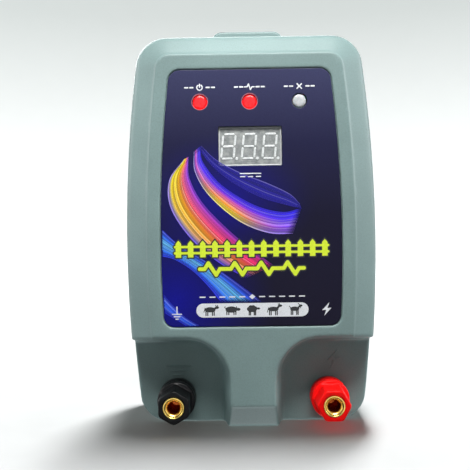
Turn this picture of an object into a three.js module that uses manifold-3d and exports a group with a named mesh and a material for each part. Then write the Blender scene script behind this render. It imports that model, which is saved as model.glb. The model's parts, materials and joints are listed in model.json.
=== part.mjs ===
// Battery powered fence energizer: a two-shell case with a printed front label, three
// indicators and a three-digit display, two screw-down terminals in stepped front
// corners, a circuit board with its parts, a supply jack in the base and a side switch.
//
// Everything is drawn in a bench frame, front up: x to the right, y up the case, and z
// out of the front face, with z = 0 on the raised front panel. The last group turns that
// into the part's own frame: +Z up, front towards -Y, origin at the middle of the base.
import * as THREE from "three";
import { mergeVertices } from "three/addons/utils/BufferGeometryUtils.js";
import Module from "manifold-3d";

const wasm = await Module();
wasm.setup();

// ---- Driving dimensions, in millimetres -------------------------------------------
const CASE_DEPTH = 46;
const CASE_TOP = 140.8; // height of the front edge of the top wall
const HALF_WIDTH = 45; // at the widest height, at the front edge of the side wall
const WIDEST_AT = 67.3; // height of the widest place
const SIDE_RADIUS = 490; // the bowed sides
const CORNER = 9.2;
const WALL = 2.2;
const DRAFT = Math.tan(THREE.MathUtils.degToRad(1.5));
const FRONT_RIM = 30.7; // depth of the front shell's rim behind the panel
const REAR_RIM = 31.7;

const BEVEL_DROP = 5.5; // depth of the sloping border at the side walls
const PANEL_HALF = 36.7; // the flat raised panel
const PANEL_BOTTOM = 8.7;
const PANEL_TOP = 133.2;
const PANEL_CORNER = 4;
const BEVEL_SLOPE = BEVEL_DROP / (HALF_WIDTH - PANEL_HALF);

const TONGUE_HALF = 8.1; // the strip between the two stepped corners
const STEP_TOP = 32.9; // height of the steps' upper wall at the panel
const STEP_DEPTH = 14.5;
const STEP_CORNER = 15.7;
const STEP_LEAN = 2.6; // how far a step's walls lean in over its depth

const LABEL = { half: 31.95, bottom: 37.1, top: 127.6, corner: 3.6 };
const LABEL_RECESS = 0.75;
const LABEL_THICK = 0.35;
const LABEL_GAP = 0.3;

const LED_PITCH = 17.55;
const LED_HEIGHT = 116.3;
const LED_RADIUS = 2.5;
const DISPLAY_HEIGHT = 100.6;
const DISPLAY = { width: 22.5, height: 14, depth: 7 };
const WINDOW_GAP = 0.5;

const POST_X = 27.9;
const POST_Y = 9.5;
const STUD_RADIUS = 3;
const INSERT_RADIUS = 3.7;
const KNOB_FLATS = 10.7;
const SKIRT_RADIUS = 6.9;
const FLANGE_RADIUS = 5.1; // the clamping flange that the knob screws down on
const POST_REACH = 19; // from the step's floor to the knob's front face
const INSERT_PROUD = 0.15; // the knob's metal insert in front of that face

const BOARD = { half: 32, bottom: 39.5, top: 128.5, front: 8.3, thick: 1.6 };
const BOARD_BACK = BOARD.front + BOARD.thick;
const BOARD_SCREWS = [
  [-28, 44],
  [28, 44],
  [-28, 124.5],
  [28, 124.5],
];
const CASE_SCREWS = [
  [-34, 134],
  [34, 134],
  [-36.5, 24.5],
  [36.5, 24.5],
];

const JACK_DEPTH = 21; // depth of the jack's axis behind the panel
const SWITCH = { height: 72, depth: 19.5, sunk: 3.3, tilt: 12 };
const TAB = { half: 15, topHalf: 14.2, top: 152.5, front: 41.5, hole: 3.25 };

const GAP = 0.3; // between pieces that touch
const ROUND = 24; // sides of a visible round piece
const SMALL_ROUND = 12;

// ---- Solids ---------------------------------------------------------------------
/** A closed geometry as a manifold-3d solid. */
function solid(geometry) {
  const bare = geometry.index ? geometry.toNonIndexed() : geometry.clone();
  bare.deleteAttribute("normal");
  bare.deleteAttribute("uv");
  const merged = mergeVertices(bare, 1e-3);
  return new wasm.Manifold(
    new wasm.Mesh({
      numProp: 3,
      vertProperties: merged.attributes.position.array,
      triVerts: new Uint32Array(merged.index.array),
    }),
  );
}

/** A manifold-3d solid as a geometry. */
function geometryOf(manifold) {
  const mesh = manifold.getMesh();
  const positions = new Float32Array(mesh.numVert * 3);
  for (let i = 0; i < mesh.numVert; i++) {
    const start = i * mesh.numProp;
    positions.set(mesh.vertProperties.subarray(start, start + 3), i * 3);
  }
  return new THREE.BufferGeometry()
    .setAttribute("position", new THREE.BufferAttribute(positions, 3))
    .setIndex(new THREE.BufferAttribute(mesh.triVerts, 1));
}

const joined = (...parts) => parts.reduce((a, b) => a.add(b));
const cut = (body, ...tools) => tools.reduce((a, b) => a.subtract(b), body);

/** A box from its lowest and highest corners. */
function box([x0, y0, z0], [x1, y1, z1]) {
  const made = new THREE.BoxGeometry(x1 - x0, y1 - y0, z1 - z0);
  return solid(made.translate((x0 + x1) / 2, (y0 + y1) / 2, (z0 + z1) / 2));
}

/** A flat outline extruded along z, from one depth behind the panel to a shallower one. */
function plate(points, deep, shallow) {
  const made = new THREE.ExtrudeGeometry(new THREE.Shape(points), {
    depth: deep - shallow,
    bevelEnabled: false,
  });
  return solid(made.translate(0, 0, -deep));
}

/** Outlines with equal numbers of points, each at its own depth, joined into one solid. */
function loft(sections) {
  const ordered = [...sections].sort((a, b) => b.depth - a.depth);
  const count = ordered[0].points.length;
  const positions = ordered.flatMap(({ points, depth }) =>
    points.flatMap((p) => [p.x, p.y, -depth]),
  );
  const index = [];
  for (let ring = 0; ring + 1 < ordered.length; ring++) {
    for (let i = 0; i < count; i++) {
      const a = ring * count + i;
      const b = ring * count + ((i + 1) % count);
      index.push(a, b, b + count, a, b + count, a + count);
    }
  }
  const last = (ordered.length - 1) * count;
  for (const [a, b, c] of THREE.ShapeUtils.triangulateShape(ordered[0].points, [])) {
    index.push(c, b, a);
  }
  for (const [a, b, c] of THREE.ShapeUtils.triangulateShape(ordered.at(-1).points, [])) {
    index.push(last + a, last + b, last + c);
  }
  const made = new THREE.BufferGeometry();
  made.setAttribute("position", new THREE.Float32BufferAttribute(positions, 3));
  return solid(made.setIndex(index));
}

/** Points of an arc, from one angle to another, both in radians. */
function arc(x, y, radius, from, to, steps) {
  return Array.from({ length: steps + 1 }, (_, i) => {
    const angle = from + ((to - from) * i) / steps;
    return new THREE.Vector2(x + radius * Math.cos(angle), y + radius * Math.sin(angle));
  });
}

function rectangle(halfX, halfY, x = 0, y = 0) {
  return [
    new THREE.Vector2(x - halfX, y - halfY),
    new THREE.Vector2(x + halfX, y - halfY),
    new THREE.Vector2(x + halfX, y + halfY),
    new THREE.Vector2(x - halfX, y + halfY),
  ];
}

/** A round rod or ring along z at (x, y). Its profile is [radius, depth] pairs in order. */
function turned(profile, x, y, sides = ROUND) {
  const points = profile.map(([radius, depth]) => new THREE.Vector2(radius, -depth));
  const closed = profile[0][0] > 0 ? [...points, points[0]] : points;
  const made = new THREE.LatheGeometry(closed, sides);
  return solid(made.rotateX(Math.PI / 2).translate(x, y, 0));
}

const rod = (radius, deep, shallow, x, y, sides = SMALL_ROUND) =>
  turned(
    [
      [0, deep],
      [radius, deep],
      [radius, shallow],
      [0, shallow],
    ],
    x,
    y,
    sides,
  );

const ring = (inner, outer, deep, shallow, x, y, sides = ROUND) =>
  turned(
    [
      [inner, deep],
      [outer, deep],
      [outer, shallow],
      [inner, shallow],
    ],
    x,
    y,
    sides,
  );

/** A hexagon's corners, from its distance across flats. With a flat side up at turn 0. */
const hexagon = (flats, x, y, turn = 0) =>
  arc(x, y, flats / Math.sqrt(3), turn, turn + 2 * Math.PI, 6).slice(0, 6);

// ---- The bowed outline that the case, panel and label share --------------------------
/** Half an outline's width at a height, before its corners are rounded. */
const bowedHalf = (half, y) => half - (y - WIDEST_AT) ** 2 / (2 * SIDE_RADIUS);

/** Where a corner arc meets the bowed side, for a corner at the top (sign 1) or bottom. */
function cornerOf(half, edge, radius, sign) {
  let y = edge - sign * radius;
  for (let i = 0; i < 4; i++) {
    const slope = Math.atan((y - WIDEST_AT) / SIDE_RADIUS);
    y = edge - sign * radius * (1 - Math.abs(Math.sin(slope)));
  }
  const slope = Math.atan((y - WIDEST_AT) / SIDE_RADIUS);
  const x = bowedHalf(half, y) - radius * Math.cos(slope);
  return { x, y: y - radius * Math.sin(slope), slope };
}

function bowedOutline(half, bottom, top, corner) {
  const CORNER_STEPS = 5;
  const SIDE_STEPS = 6;
  const up = Math.PI / 2;
  const low = cornerOf(half, bottom, corner, -1);
  const high = cornerOf(half, top, corner, 1);
  const right = [
    ...arc(low.x, low.y, corner, -up, low.slope, CORNER_STEPS),
    ...arc(high.x, high.y, corner, high.slope, up, CORNER_STEPS),
  ];
  const from = right[CORNER_STEPS].y;
  const to = right[CORNER_STEPS + 1].y;
  const side = [];
  for (let i = 1; i < SIDE_STEPS; i++) {
    const y = from + ((to - from) * i) / SIDE_STEPS;
    side.push(new THREE.Vector2(bowedHalf(half, y), y));
  }
  right.splice(CORNER_STEPS + 1, 0, ...side);
  const left = right.map((p) => new THREE.Vector2(-p.x, p.y)).reverse();
  return [...right, ...left];
}

const grownOutline = ({ half, bottom, top, corner }, grow) =>
  bowedOutline(half + grow, bottom - grow, top + grow, corner + grow);

/** The case's outline at a depth behind the panel, moved in by inset. */
function caseOutline(depth, inset) {
  const lean = (Math.min(depth, FRONT_RIM) - BEVEL_DROP) * DRAFT;
  return bowedOutline(HALF_WIDTH + lean - inset, inset, CASE_TOP + lean - inset, CORNER - inset);
}

// ---- Front shell ------------------------------------------------------------------
/** The front shell's form as a full solid: drafted walls under a bevelled roof. */
function frontForm(inset, rim) {
  const TALL = 1;
  const ROOF_FOOT = 12;
  const panel = { half: PANEL_HALF, bottom: PANEL_BOTTOM, top: PANEL_TOP, corner: PANEL_CORNER };
  const walls = loft([
    { points: caseOutline(rim, inset), depth: rim },
    { points: caseOutline(-TALL, inset), depth: -TALL },
  ]);
  const slant = Math.hypot(1, BEVEL_SLOPE);
  const shift = (inset * (1 - slant)) / BEVEL_SLOPE;
  const foot = shift + (ROOF_FOOT - inset) / BEVEL_SLOPE;
  const roof = loft([
    { points: grownOutline(panel, foot), depth: rim + TALL },
    { points: grownOutline(panel, foot), depth: ROOF_FOOT },
    { points: grownOutline(panel, shift), depth: inset },
  ]);
  return walls.intersect(roof);
}

/** One stepped corner as a solid to cut away: side is 1 on the right, -1 on the left. */
function stepForm(side, grow) {
  const FAR = 60;
  const STEPS = 8;
  const START = -2;
  const floor = STEP_DEPTH + grow;
  const section = (depth) => {
    const lean = (STEP_LEAN * depth) / STEP_DEPTH - grow;
    const radius = STEP_CORNER - lean;
    const left = TONGUE_HALF + lean;
    const top = STEP_TOP - lean;
    const points = [
      ...arc(left + radius, top - radius, radius, Math.PI, Math.PI / 2, STEPS),
      new THREE.Vector2(FAR, top),
      new THREE.Vector2(FAR, -FAR),
      new THREE.Vector2(left, -FAR),
    ];
    if (side > 0) return { points: points.reverse(), depth };
    return { points: points.map((p) => new THREE.Vector2(-p.x, p.y)), depth };
  };
  return loft([section(START), section(floor)]);
}

/** The pocket that the side switch sits in, grown by grow. */
function switchPocket(grow) {
  const { height, depth, sunk } = SWITCH;
  const HALF_TALL = 9.5;
  const HALF_DEEP = 6.5;
  return box(
    [HALF_WIDTH - sunk - grow, height - HALF_TALL - grow, -depth - HALF_DEEP - grow],
    [HALF_WIDTH + 10, height + HALF_TALL + grow, -depth + HALF_DEEP + grow],
  );
}

/** A round rod along y, the way the supply jack points, at the jack's axis. */
function jackTurned(profile, sides = ROUND) {
  const points = profile.map(([radius, y]) => new THREE.Vector2(radius, y));
  const closed = profile[0][0] > 0 ? [...points, points[0]] : points;
  return solid(new THREE.LatheGeometry(closed, sides).translate(0, 0, -JACK_DEPTH));
}

const jackRod = (radius, from, to, sides) =>
  jackTurned(
    [
      [0, from],
      [radius, from],
      [radius, to],
      [0, to],
    ],
    sides,
  );

function makeFrontCover() {
  const outer = cut(frontForm(0, FRONT_RIM), stepForm(1, 0), stepForm(-1, 0));
  const cavity = cut(
    frontForm(WALL, FRONT_RIM + 1),
    stepForm(1, WALL),
    stepForm(-1, WALL),
  );
  const shell = outer.subtract(cavity);
  const inside = [
    ...BOARD_SCREWS.map(([x, y]) => rod(3, BOARD.front - GAP, 1, x, y)),
    ...CASE_SCREWS.map(([x, y]) => rod(3.4, FRONT_RIM - 0.5, 1, x, y)),
    switchPocket(WALL),
    jackRod(7.4, -1, 4.6),
  ].map((piece) => piece.intersect(outer));
  const windowX = DISPLAY.width / 2 + WINDOW_GAP;
  const windowY = DISPLAY.height / 2 + WINDOW_GAP;
  const openings = [
    plate(grownOutline(LABEL, LABEL_GAP), LABEL_RECESS, -1),
    box(
      [-windowX, DISPLAY_HEIGHT - windowY, -WALL - 1],
      [windowX, DISPLAY_HEIGHT + windowY, 1],
    ),
    ...[-1, 0, 1].map((i) => rod(LED_RADIUS + GAP, WALL + 1, -1, i * LED_PITCH, LED_HEIGHT)),
    ...[-1, 1].map((i) => rod(STUD_RADIUS + 0.5, 25, 0, i * POST_X, POST_Y, ROUND)),
    ...BOARD_SCREWS.map(([x, y]) => rod(1.4, 20, 3, x, y)),
    ...CASE_SCREWS.map(([x, y]) => rod(1.6, 40, 18, x, y)),
    switchPocket(0),
    box(
      [20, SWITCH.height - 6.9, -SWITCH.depth - 4.7],
      [HALF_WIDTH, SWITCH.height + 6.9, -SWITCH.depth + 4.7],
    ),
    jackRod(6, -1, 2.2),
    jackRod(4.3, -1, 10),
  ];
  return cut(joined(shell, ...inside), ...openings);
}

// ---- Rear shell, gasket and case screws -----------------------------------------------
const REAR_SCREW_SEAT = 38; // depth of the case screws' heads
const BACK_ROUND = 3.4;

function rearForm(inset, rim) {
  const section = (depth, shrink) => ({
    points: caseOutline(FRONT_RIM, inset + shrink),
    depth,
  });
  const back = CASE_DEPTH - inset;
  const half = BACK_ROUND * (1 - Math.SQRT1_2);
  return loft([
    section(rim, 0),
    section(back - BACK_ROUND, half * 0.5),
    section(back - half, half + 0.4),
    section(back, BACK_ROUND * 0.75),
  ]);
}

/** The hanging tab: a tapered lug on the rear shell with a hole for a hook or screw. */
function makeTab() {
  const TIP = 3.5;
  const up = Math.PI / 2;
  const outline = [
    new THREE.Vector2(-TAB.half, 134),
    new THREE.Vector2(TAB.half, 134),
    new THREE.Vector2(TAB.half, CASE_TOP + 1),
    ...arc(TAB.topHalf - TIP, TAB.top - TIP, TIP, 0.05, up, 5),
    ...arc(-TAB.topHalf + TIP, TAB.top - TIP, TIP, up, Math.PI - 0.05, 5),
    new THREE.Vector2(-TAB.half, CASE_TOP + 1),
  ];
  return plate(outline, CASE_DEPTH - 0.4, TAB.front);
}

function makeRearCover() {
  const cavity = rearForm(WALL, REAR_RIM - 1);
  const LIP_OUT = WALL + GAP;
  const LIP_THICK = 1.2;
  const LEDGE = 2.5;
  const lip = joined(
    plate(caseOutline(FRONT_RIM, LIP_OUT), REAR_RIM + LEDGE, FRONT_RIM - 2),
    plate(caseOutline(FRONT_RIM, 1), REAR_RIM + LEDGE, REAR_RIM),
  ).subtract(
    plate(caseOutline(FRONT_RIM, LIP_OUT + LIP_THICK), REAR_RIM + 5, FRONT_RIM - 3),
  );
  const tubes = CASE_SCREWS.map(([x, y]) =>
    rod(4.6, CASE_DEPTH - 1, FRONT_RIM + GAP, x, y, 16).intersect(rearForm(WALL - 0.05, FRONT_RIM)),
  );
  const tab = makeTab();
  const body = joined(
    cut(rearForm(0, REAR_RIM), cavity),
    tab,
    lip,
    ...tubes,
  );
  const holes = CASE_SCREWS.flatMap(([x, y]) => [
    rod(3.3, CASE_DEPTH + 1, REAR_SCREW_SEAT, x, y),
    rod(1.8, CASE_DEPTH, 20, x, y),
    // the lip steps round each front boss
    rod(3.4 + GAP, REAR_RIM - 0.9, 20, x, y),
  ]);
  const hole = rod(TAB.hole, CASE_DEPTH + 1, TAB.front - 1, 0, 146.4, 16);
  return cut(body, ...holes, hole);
}

function makeGasket() {
  const OUT = 0.7;
  const WIDE = 1.2;
  const deep = REAR_RIM - GAP;
  const shallow = FRONT_RIM + GAP;
  return plate(caseOutline(FRONT_RIM, OUT), deep, shallow).subtract(
    plate(caseOutline(FRONT_RIM, OUT + WIDE), deep + 1, shallow - 1),
  );
}

/** A pan-head screw driven from behind, its head seated at a depth. */
function makeScrew([x, y], seat, length, radius, head) {
  const HEAD_TALL = 1.9;
  const RIM = 0.5;
  const screw = turned(
    [
      [0, seat + HEAD_TALL],
      [head - RIM, seat + HEAD_TALL],
      [head, seat + HEAD_TALL - RIM],
      [head, seat],
      [radius, seat],
      [radius, seat - length],
      [0, seat - length - radius],
    ],
    x,
    y,
    SMALL_ROUND,
  );
  const SLOT = 0.35;
  const slots = [0, Math.PI / 2].map((turn) => {
    const blade = new THREE.BoxGeometry(head * 1.2, SLOT * 2, 1.2);
    return solid(blade.rotateZ(turn).translate(x, y, -seat - HEAD_TALL));
  });
  return cut(screw, ...slots);
}

// ---- Label, indicators and display ----------------------------------------------------
function makeLabel() {
  const deep = LABEL_RECESS - GAP * 0.7;
  const shallow = deep - LABEL_THICK;
  const windowX = DISPLAY.width / 2 - 0.2;
  const windowY = DISPLAY.height / 2 - 0.2;
  return cut(
    plate(grownOutline(LABEL, 0), deep, shallow),
    box(
      [-windowX, DISPLAY_HEIGHT - windowY, -3],
      [windowX, DISPLAY_HEIGHT + windowY, 1],
    ),
    ...[-1, 0, 1].map((i) => rod(LED_RADIUS + GAP, 3, -1, i * LED_PITCH, LED_HEIGHT)),
  );
}

function makeLed(place) {
  const TIP = 0.25;
  const BASE_RIM = 2.9;
  const BASE_TALL = 1;
  const back = BOARD.front - GAP;
  const shoulder = TIP + LED_RADIUS;
  const dome = [20, 45, 70].map((degrees) => {
    const angle = THREE.MathUtils.degToRad(degrees);
    return [LED_RADIUS * Math.cos(angle), shoulder - LED_RADIUS * Math.sin(angle)];
  });
  const profile = [
    [0, back],
    [BASE_RIM, back],
    [BASE_RIM, back - BASE_TALL],
    [LED_RADIUS, back - BASE_TALL],
    [LED_RADIUS, shoulder],
    ...dome,
    [0, TIP],
  ];
  return turned(profile, place * LED_PITCH, LED_HEIGHT, 16);
}

function makeDisplay() {
  const FACE = 1.1; // depth of the display's face
  const halfX = DISPLAY.width / 2;
  const halfY = DISPLAY.height / 2;
  return box(
    [-halfX, DISPLAY_HEIGHT - halfY, -FACE - DISPLAY.depth + GAP],
    [halfX, DISPLAY_HEIGHT + halfY, -FACE],
  );
}

// ---- Circuit board and what stands on it ------------------------------------------------
/** A box standing on the back of the board, at (x, y), with its size in x, y and depth. */
function standing(x, y, [wide, tall, deep], lift = GAP) {
  const near = BOARD_BACK + lift;
  return box(
    [x - wide / 2, y - tall / 2, -near - deep],
    [x + wide / 2, y + tall / 2, -near],
  );
}

function makeBoard() {
  const middle = (BOARD.top + BOARD.bottom) / 2;
  const outline = rectangle(BOARD.half, (BOARD.top - BOARD.bottom) / 2, 0, middle);
  const board = plate(outline, BOARD_BACK, BOARD.front);
  return cut(board, ...BOARD_SCREWS.map(([x, y]) => rod(1.6, 12, 5, x, y)));
}

const PULSE = { x: -6, y: 60, depth: 22.5, wide: 34, tall: 28, stack: 14, leg: 8 };

/** The pulse transformer's laminated core: a frame with a middle leg. */
function makePulseCore() {
  const { x, y, depth, wide, tall, stack, leg } = PULSE;
  const side = leg / 2;
  const windowWide = (wide - 2 * leg) / 2;
  const windowTall = tall - 2 * side;
  const deep = depth + stack / 2;
  const shallow = depth - stack / 2;
  const block = plate(rectangle(wide / 2, tall / 2, x, y), deep, shallow);
  const offset = (leg + windowWide) / 2;
  return cut(
    block,
    ...[-1, 1].map((i) =>
      plate(
        rectangle(windowWide / 2, windowTall / 2, x + i * offset, y),
        deep + 1,
        shallow - 1,
      ),
    ),
  );
}

/** A square tube round the middle leg: half sizes in x and depth, from its middle. */
function legTube(outX, outDepth, inX, inDepth, halfTall, lift = 0) {
  const { x, y, depth } = PULSE;
  const middle = y + lift;
  const tube = (halfX, halfDeep, extra) =>
    box(
      [x - halfX, middle - halfTall - extra, -depth - halfDeep],
      [x + halfX, middle + halfTall + extra, -depth + halfDeep],
    );
  return tube(outX, outDepth, 0).subtract(tube(inX, inDepth, 1));
}

function makePulseBobbin() {
  const halfLeg = PULSE.leg / 2 + GAP;
  const halfStack = PULSE.stack / 2 + GAP;
  const THIN = 0.6;
  const HALF_TALL = 9.5;
  const FLANGE = 0.4;
  const tube = legTube(halfLeg + THIN, halfStack + THIN, halfLeg, halfStack, HALF_TALL);
  const flanges = [-1, 1].map((i) =>
    legTube(8.4, 11.6, halfLeg, halfStack, FLANGE, i * (HALF_TALL - FLANGE)),
  );
  return joined(tube, ...flanges);
}

function makePulseWinding() {
  const halfLeg = PULSE.leg / 2 + 2 * GAP + 0.6;
  const halfStack = PULSE.stack / 2 + 2 * GAP + 0.6;
  return legTube(8, 11, halfLeg, halfStack, 8.3);
}

function makeInverterCore() {
  const outer = standing(-21, 94, [19, 16, 5], 4.2);
  return cut(
    outer,
    standing(-25.6, 94, [3.6, 11, 9], 2),
    standing(-16.4, 94, [3.6, 11, 9], 2),
  );
}

function makeInverterWinding() {
  const around = standing(-21, 94, [12.2, 10.2, 12.6], 0.6);
  return around.subtract(standing(-21, 94, [6.2, 12, 5.6], 3.9));
}

function makeHeatsink() {
  const FINS = 5;
  const base = standing(-20, 119, [24, 2, 20]);
  const fins = Array.from({ length: FINS }, (_, i) =>
    standing(-30.9 + i * 5.5, 116.4, [1.2, 5, 20]),
  );
  return joined(base, ...fins);
}

/** A flat power device standing on its three legs, which share one foot on the board. */
function makePowerDevice(x, y) {
  const body = standing(x, y, [10, 4, 9], 5);
  const tab = standing(x, y + 1.3, [10, 1.3, 15.5], 5);
  const leads = [-2.5, 0, 2.5].map((i) => standing(x + i, y, [0.9, 0.7, 6]));
  const hole = new THREE.CylinderGeometry(1.8, 1.8, 6, SMALL_ROUND);
  const cutter = solid(hole.translate(x, y + 1.5, -BOARD_BACK - 17.6));
  return cut(joined(body, tab, ...leads), cutter);
}

function makeChip() {
  const LEGS = 7;
  const PITCH = 2.54;
  const body = standing(4, 119, [18.6, 6.2, 3.2], 0.8);
  const legs = Array.from({ length: LEGS }, (_, i) =>
    standing(4 + (i - (LEGS - 1) / 2) * PITCH, 119, [0.9, 8, 1.6]),
  );
  return joined(body, ...legs);
}

function makeStorageCapacitor() {
  return standing(11, 93, [31, 19, 21]);
}

function makeInputCapacitor() {
  const near = BOARD_BACK + GAP;
  const TALL = 17;
  const RADIUS = 5;
  const CRIMP = 0.35;
  const profile = [
    [0, near],
    [RADIUS, near],
    [RADIUS, near + 1.5],
    [RADIUS - CRIMP, near + 2.1],
    [RADIUS, near + 2.7],
    [RADIUS, near + TALL - CRIMP],
    [RADIUS - CRIMP, near + TALL],
    [0, near + TALL],
  ];
  return turned(profile.reverse(), 25.5, 111, 20);
}

const FUSE = { x: 20.5, y: 62, depth: 14, radius: 2.5, half: 10 };

function makeFuse() {
  const { x, y, depth, radius, half } = FUSE;
  const CAP = 5.2;
  const NECK = 0.25;
  const points = [
    [0, -half],
    [radius, -half],
    [radius, -half + CAP],
    [radius - NECK, -half + CAP],
    [radius - NECK, half - CAP],
    [radius, half - CAP],
    [radius, half],
    [0, half],
  ].map(([r, along]) => new THREE.Vector2(r, along));
  const made = new THREE.LatheGeometry(points, 16);
  return solid(made.translate(x, y, -depth));
}

/** A sprung clip that holds one end of the fuse: place is 1 at the top, -1 below. */
function makeFuseClip(place) {
  const { x, y, depth, radius, half } = FUSE;
  const middle = y + place * (half - 2.6);
  const WIDE = 3.4;
  const THIN = 0.5;
  const BORE = radius + GAP;
  const reach = BORE + THIN;
  const block = box(
    [x - reach, middle - WIDE / 2, -depth - 1.6],
    [x + reach, middle + WIDE / 2, -BOARD_BACK - GAP],
  );
  const bore = new THREE.CylinderGeometry(BORE, BORE, WIDE + 2, 16);
  return cut(
    block,
    solid(bore.translate(x, middle, -depth)),
    box([x - 1.7, middle - WIDE, -depth - 5], [x + 1.7, middle + WIDE, -depth]),
  );
}

// ---- Terminals -------------------------------------------------------------------------
/** Depth behind the panel of a place given as its reach out from a step's floor. */
const reach = (out) => STEP_DEPTH - out;

const KNOB = { back: 5.4, skirt: 8.6, front: POST_REACH };

function makeKnob(x, turn) {
  const BORE = INSERT_RADIUS + 0.2;
  const BEVEL = 0.7;
  const hex = loft([
    { points: hexagon(KNOB_FLATS, x, POST_Y, turn), depth: reach(KNOB.skirt - 1) },
    { points: hexagon(KNOB_FLATS, x, POST_Y, turn), depth: reach(KNOB.front - BEVEL) },
    { points: hexagon(KNOB_FLATS - 2 * BEVEL, x, POST_Y, turn), depth: reach(KNOB.front) },
  ]);
  const skirt = turned(
    [
      [0, reach(KNOB.back)],
      [SKIRT_RADIUS, reach(KNOB.back)],
      [SKIRT_RADIUS, reach(KNOB.skirt - BEVEL)],
      [SKIRT_RADIUS - BEVEL, reach(KNOB.skirt)],
      [0, reach(KNOB.skirt)],
    ],
    x,
    POST_Y,
  );
  return cut(joined(hex, skirt), rod(BORE, 30, -10, x, POST_Y, ROUND));
}

function makeInsert(x) {
  return ring(
    STUD_RADIUS + 0.2,
    INSERT_RADIUS,
    reach(KNOB.back + 0.1),
    reach(KNOB.front + INSERT_PROUD),
    x,
    POST_Y,
  );
}

/** The stud: a socket at its front, a clamping flange, a wire hole, and a threaded tail. */
function makeStud(x) {
  const SOCKET = 2;
  const MOUTH = 2.75;
  const front = reach(POST_REACH - 0.3);
  const profile = [
    [0, 28.5],
    [STUD_RADIUS - 0.4, 28.5],
    [STUD_RADIUS, 28],
    [STUD_RADIUS, reach(3.5)],
    [FLANGE_RADIUS, reach(3.5)],
    [FLANGE_RADIUS, reach(5.1)],
    [STUD_RADIUS, reach(5.1)],
    [STUD_RADIUS, front],
    [MOUTH, front],
    [SOCKET, front + 1.6],
    [SOCKET, reach(6.9)],
    [0, reach(6.2)],
  ];
  const stud = turned(profile, x, POST_Y);
  const wireHole = new THREE.CylinderGeometry(1.1, 1.1, 10, SMALL_ROUND);
  return cut(stud, solid(wireHole.rotateZ(Math.PI / 2).translate(x, POST_Y, -reach(7.6))));
}

/** The insulating collar under the stud's flange, its rim standing round the flange. */
function makeCollar(x) {
  const RIM = 4.9;
  const FLOOR = 3.2;
  const BEVEL = 0.4;
  return turned(
    [
      [STUD_RADIUS + GAP, reach(GAP)],
      [SKIRT_RADIUS, reach(GAP)],
      [SKIRT_RADIUS, reach(RIM - BEVEL)],
      [SKIRT_RADIUS - BEVEL, reach(RIM)],
      [FLANGE_RADIUS + GAP, reach(RIM)],
      [FLANGE_RADIUS + GAP, reach(FLOOR)],
      [STUD_RADIUS + GAP, reach(FLOOR)],
    ],
    x,
    POST_Y,
  );
}

const makeRearWasher = (x) => ring(STUD_RADIUS + GAP, 5.6, 18.8, 17, x, POST_Y);

function makeLug(x) {
  const tail = box([x - 2.2, POST_Y + 3, -19.8], [x + 2.2, POST_Y + 13, -19.1]);
  const barrel = box([x - 1.7, POST_Y + 9.5, -21.6], [x + 1.7, POST_Y + 13.5, -19.1]);
  const disc = rod(4.7, 19.8, 19.1, x, POST_Y, ROUND);
  const hole = rod(STUD_RADIUS + GAP, 25, 10, x, POST_Y, ROUND);
  return cut(joined(disc, tail, barrel), hole);
}

function makeNut(x, shallow) {
  const TALL = 3;
  const nut = plate(hexagon(10, x, POST_Y), shallow + TALL, shallow);
  return nut.subtract(rod(STUD_RADIUS + 0.25, 40, 10, x, POST_Y, ROUND));
}

// ---- Supply jack and side switch ---------------------------------------------------------
const JACK = { flange: 5.4, barrel: 3.95, bore: 2.95, pin: 1, deep: 12.5 };

function makeJackBody() {
  const { flange, barrel, bore, pin, deep } = JACK;
  return jackTurned([
    [bore, 0.4],
    [flange, 0.4],
    [flange, 1.8],
    [barrel, 1.8],
    [barrel, deep],
    [pin + 0.2, deep],
    [pin + 0.2, deep - 2.5],
    [bore, deep - 2.5],
  ]);
}

const makeJackPin = () =>
  jackTurned(
    [
      [0, 1.6],
      [JACK.pin - 0.3, 1.6],
      [JACK.pin, 1.9],
      [JACK.pin, JACK.deep + 2],
      [0, JACK.deep + 2],
    ],
    SMALL_ROUND,
  );

function makeJackNut() {
  const TALL = 2;
  const LOW = 4.9;
  const shape = new THREE.Shape(hexagon(10.6, 0, 0));
  const made = new THREE.ExtrudeGeometry(shape, { depth: TALL, bevelEnabled: false });
  made.rotateX(-Math.PI / 2).translate(0, LOW, -JACK_DEPTH);
  return solid(made).subtract(jackRod(JACK.barrel + 0.2, 0, 12));
}

const SWITCH_SEAT = HALF_WIDTH - SWITCH.sunk + GAP; // x of the bezel's back
const ROCKER_PIVOT = SWITCH_SEAT - 1;

function makeSwitchFrame() {
  const { height, depth } = SWITCH;
  const block = (x0, x1, halfTall, halfDeep) =>
    box(
      [x0, height - halfTall, -depth - halfDeep],
      [x1, height + halfTall, -depth + halfDeep],
    );
  const tabs = [-4, 4].map((i) =>
    box(
      [SWITCH_SEAT - 16.5, height + i - 0.4, -depth - 1.6],
      [SWITCH_SEAT - 11, height + i + 0.4, -depth + 1.6],
    ),
  );
  return cut(
    joined(
      block(SWITCH_SEAT, SWITCH_SEAT + 1.8, 7.8, 5.4),
      block(SWITCH_SEAT - 12, SWITCH_SEAT + 1, 6.5, 4.3),
      ...tabs,
    ),
    block(SWITCH_SEAT - 8, SWITCH_SEAT + 5, 5.8, 3.6),
  );
}

/** The rocker, drawn level about its pivot and then tipped to its off side. */
function makeRocker() {
  const HALF_DEEP = 3.3;
  const outline = [
    [-4.9, 2.9],
    [-4.3, -0.8],
    [-1.5, -3],
    [1.5, -3],
    [4.3, -0.8],
    [4.9, 2.9],
    [2.6, 1.9],
    [0, 1.6],
    [-2.6, 1.9],
  ].map(([along, out]) => new THREE.Vector2(out, along));
  const shape = new THREE.Shape(outline.reverse());
  const made = new THREE.ExtrudeGeometry(shape, {
    depth: 2 * HALF_DEEP,
    bevelEnabled: false,
  });
  made.translate(0, 0, -HALF_DEEP);
  made.rotateZ(THREE.MathUtils.degToRad(SWITCH.tilt));
  return solid(made.translate(ROCKER_PIVOT, SWITCH.height, -SWITCH.depth));
}

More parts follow.
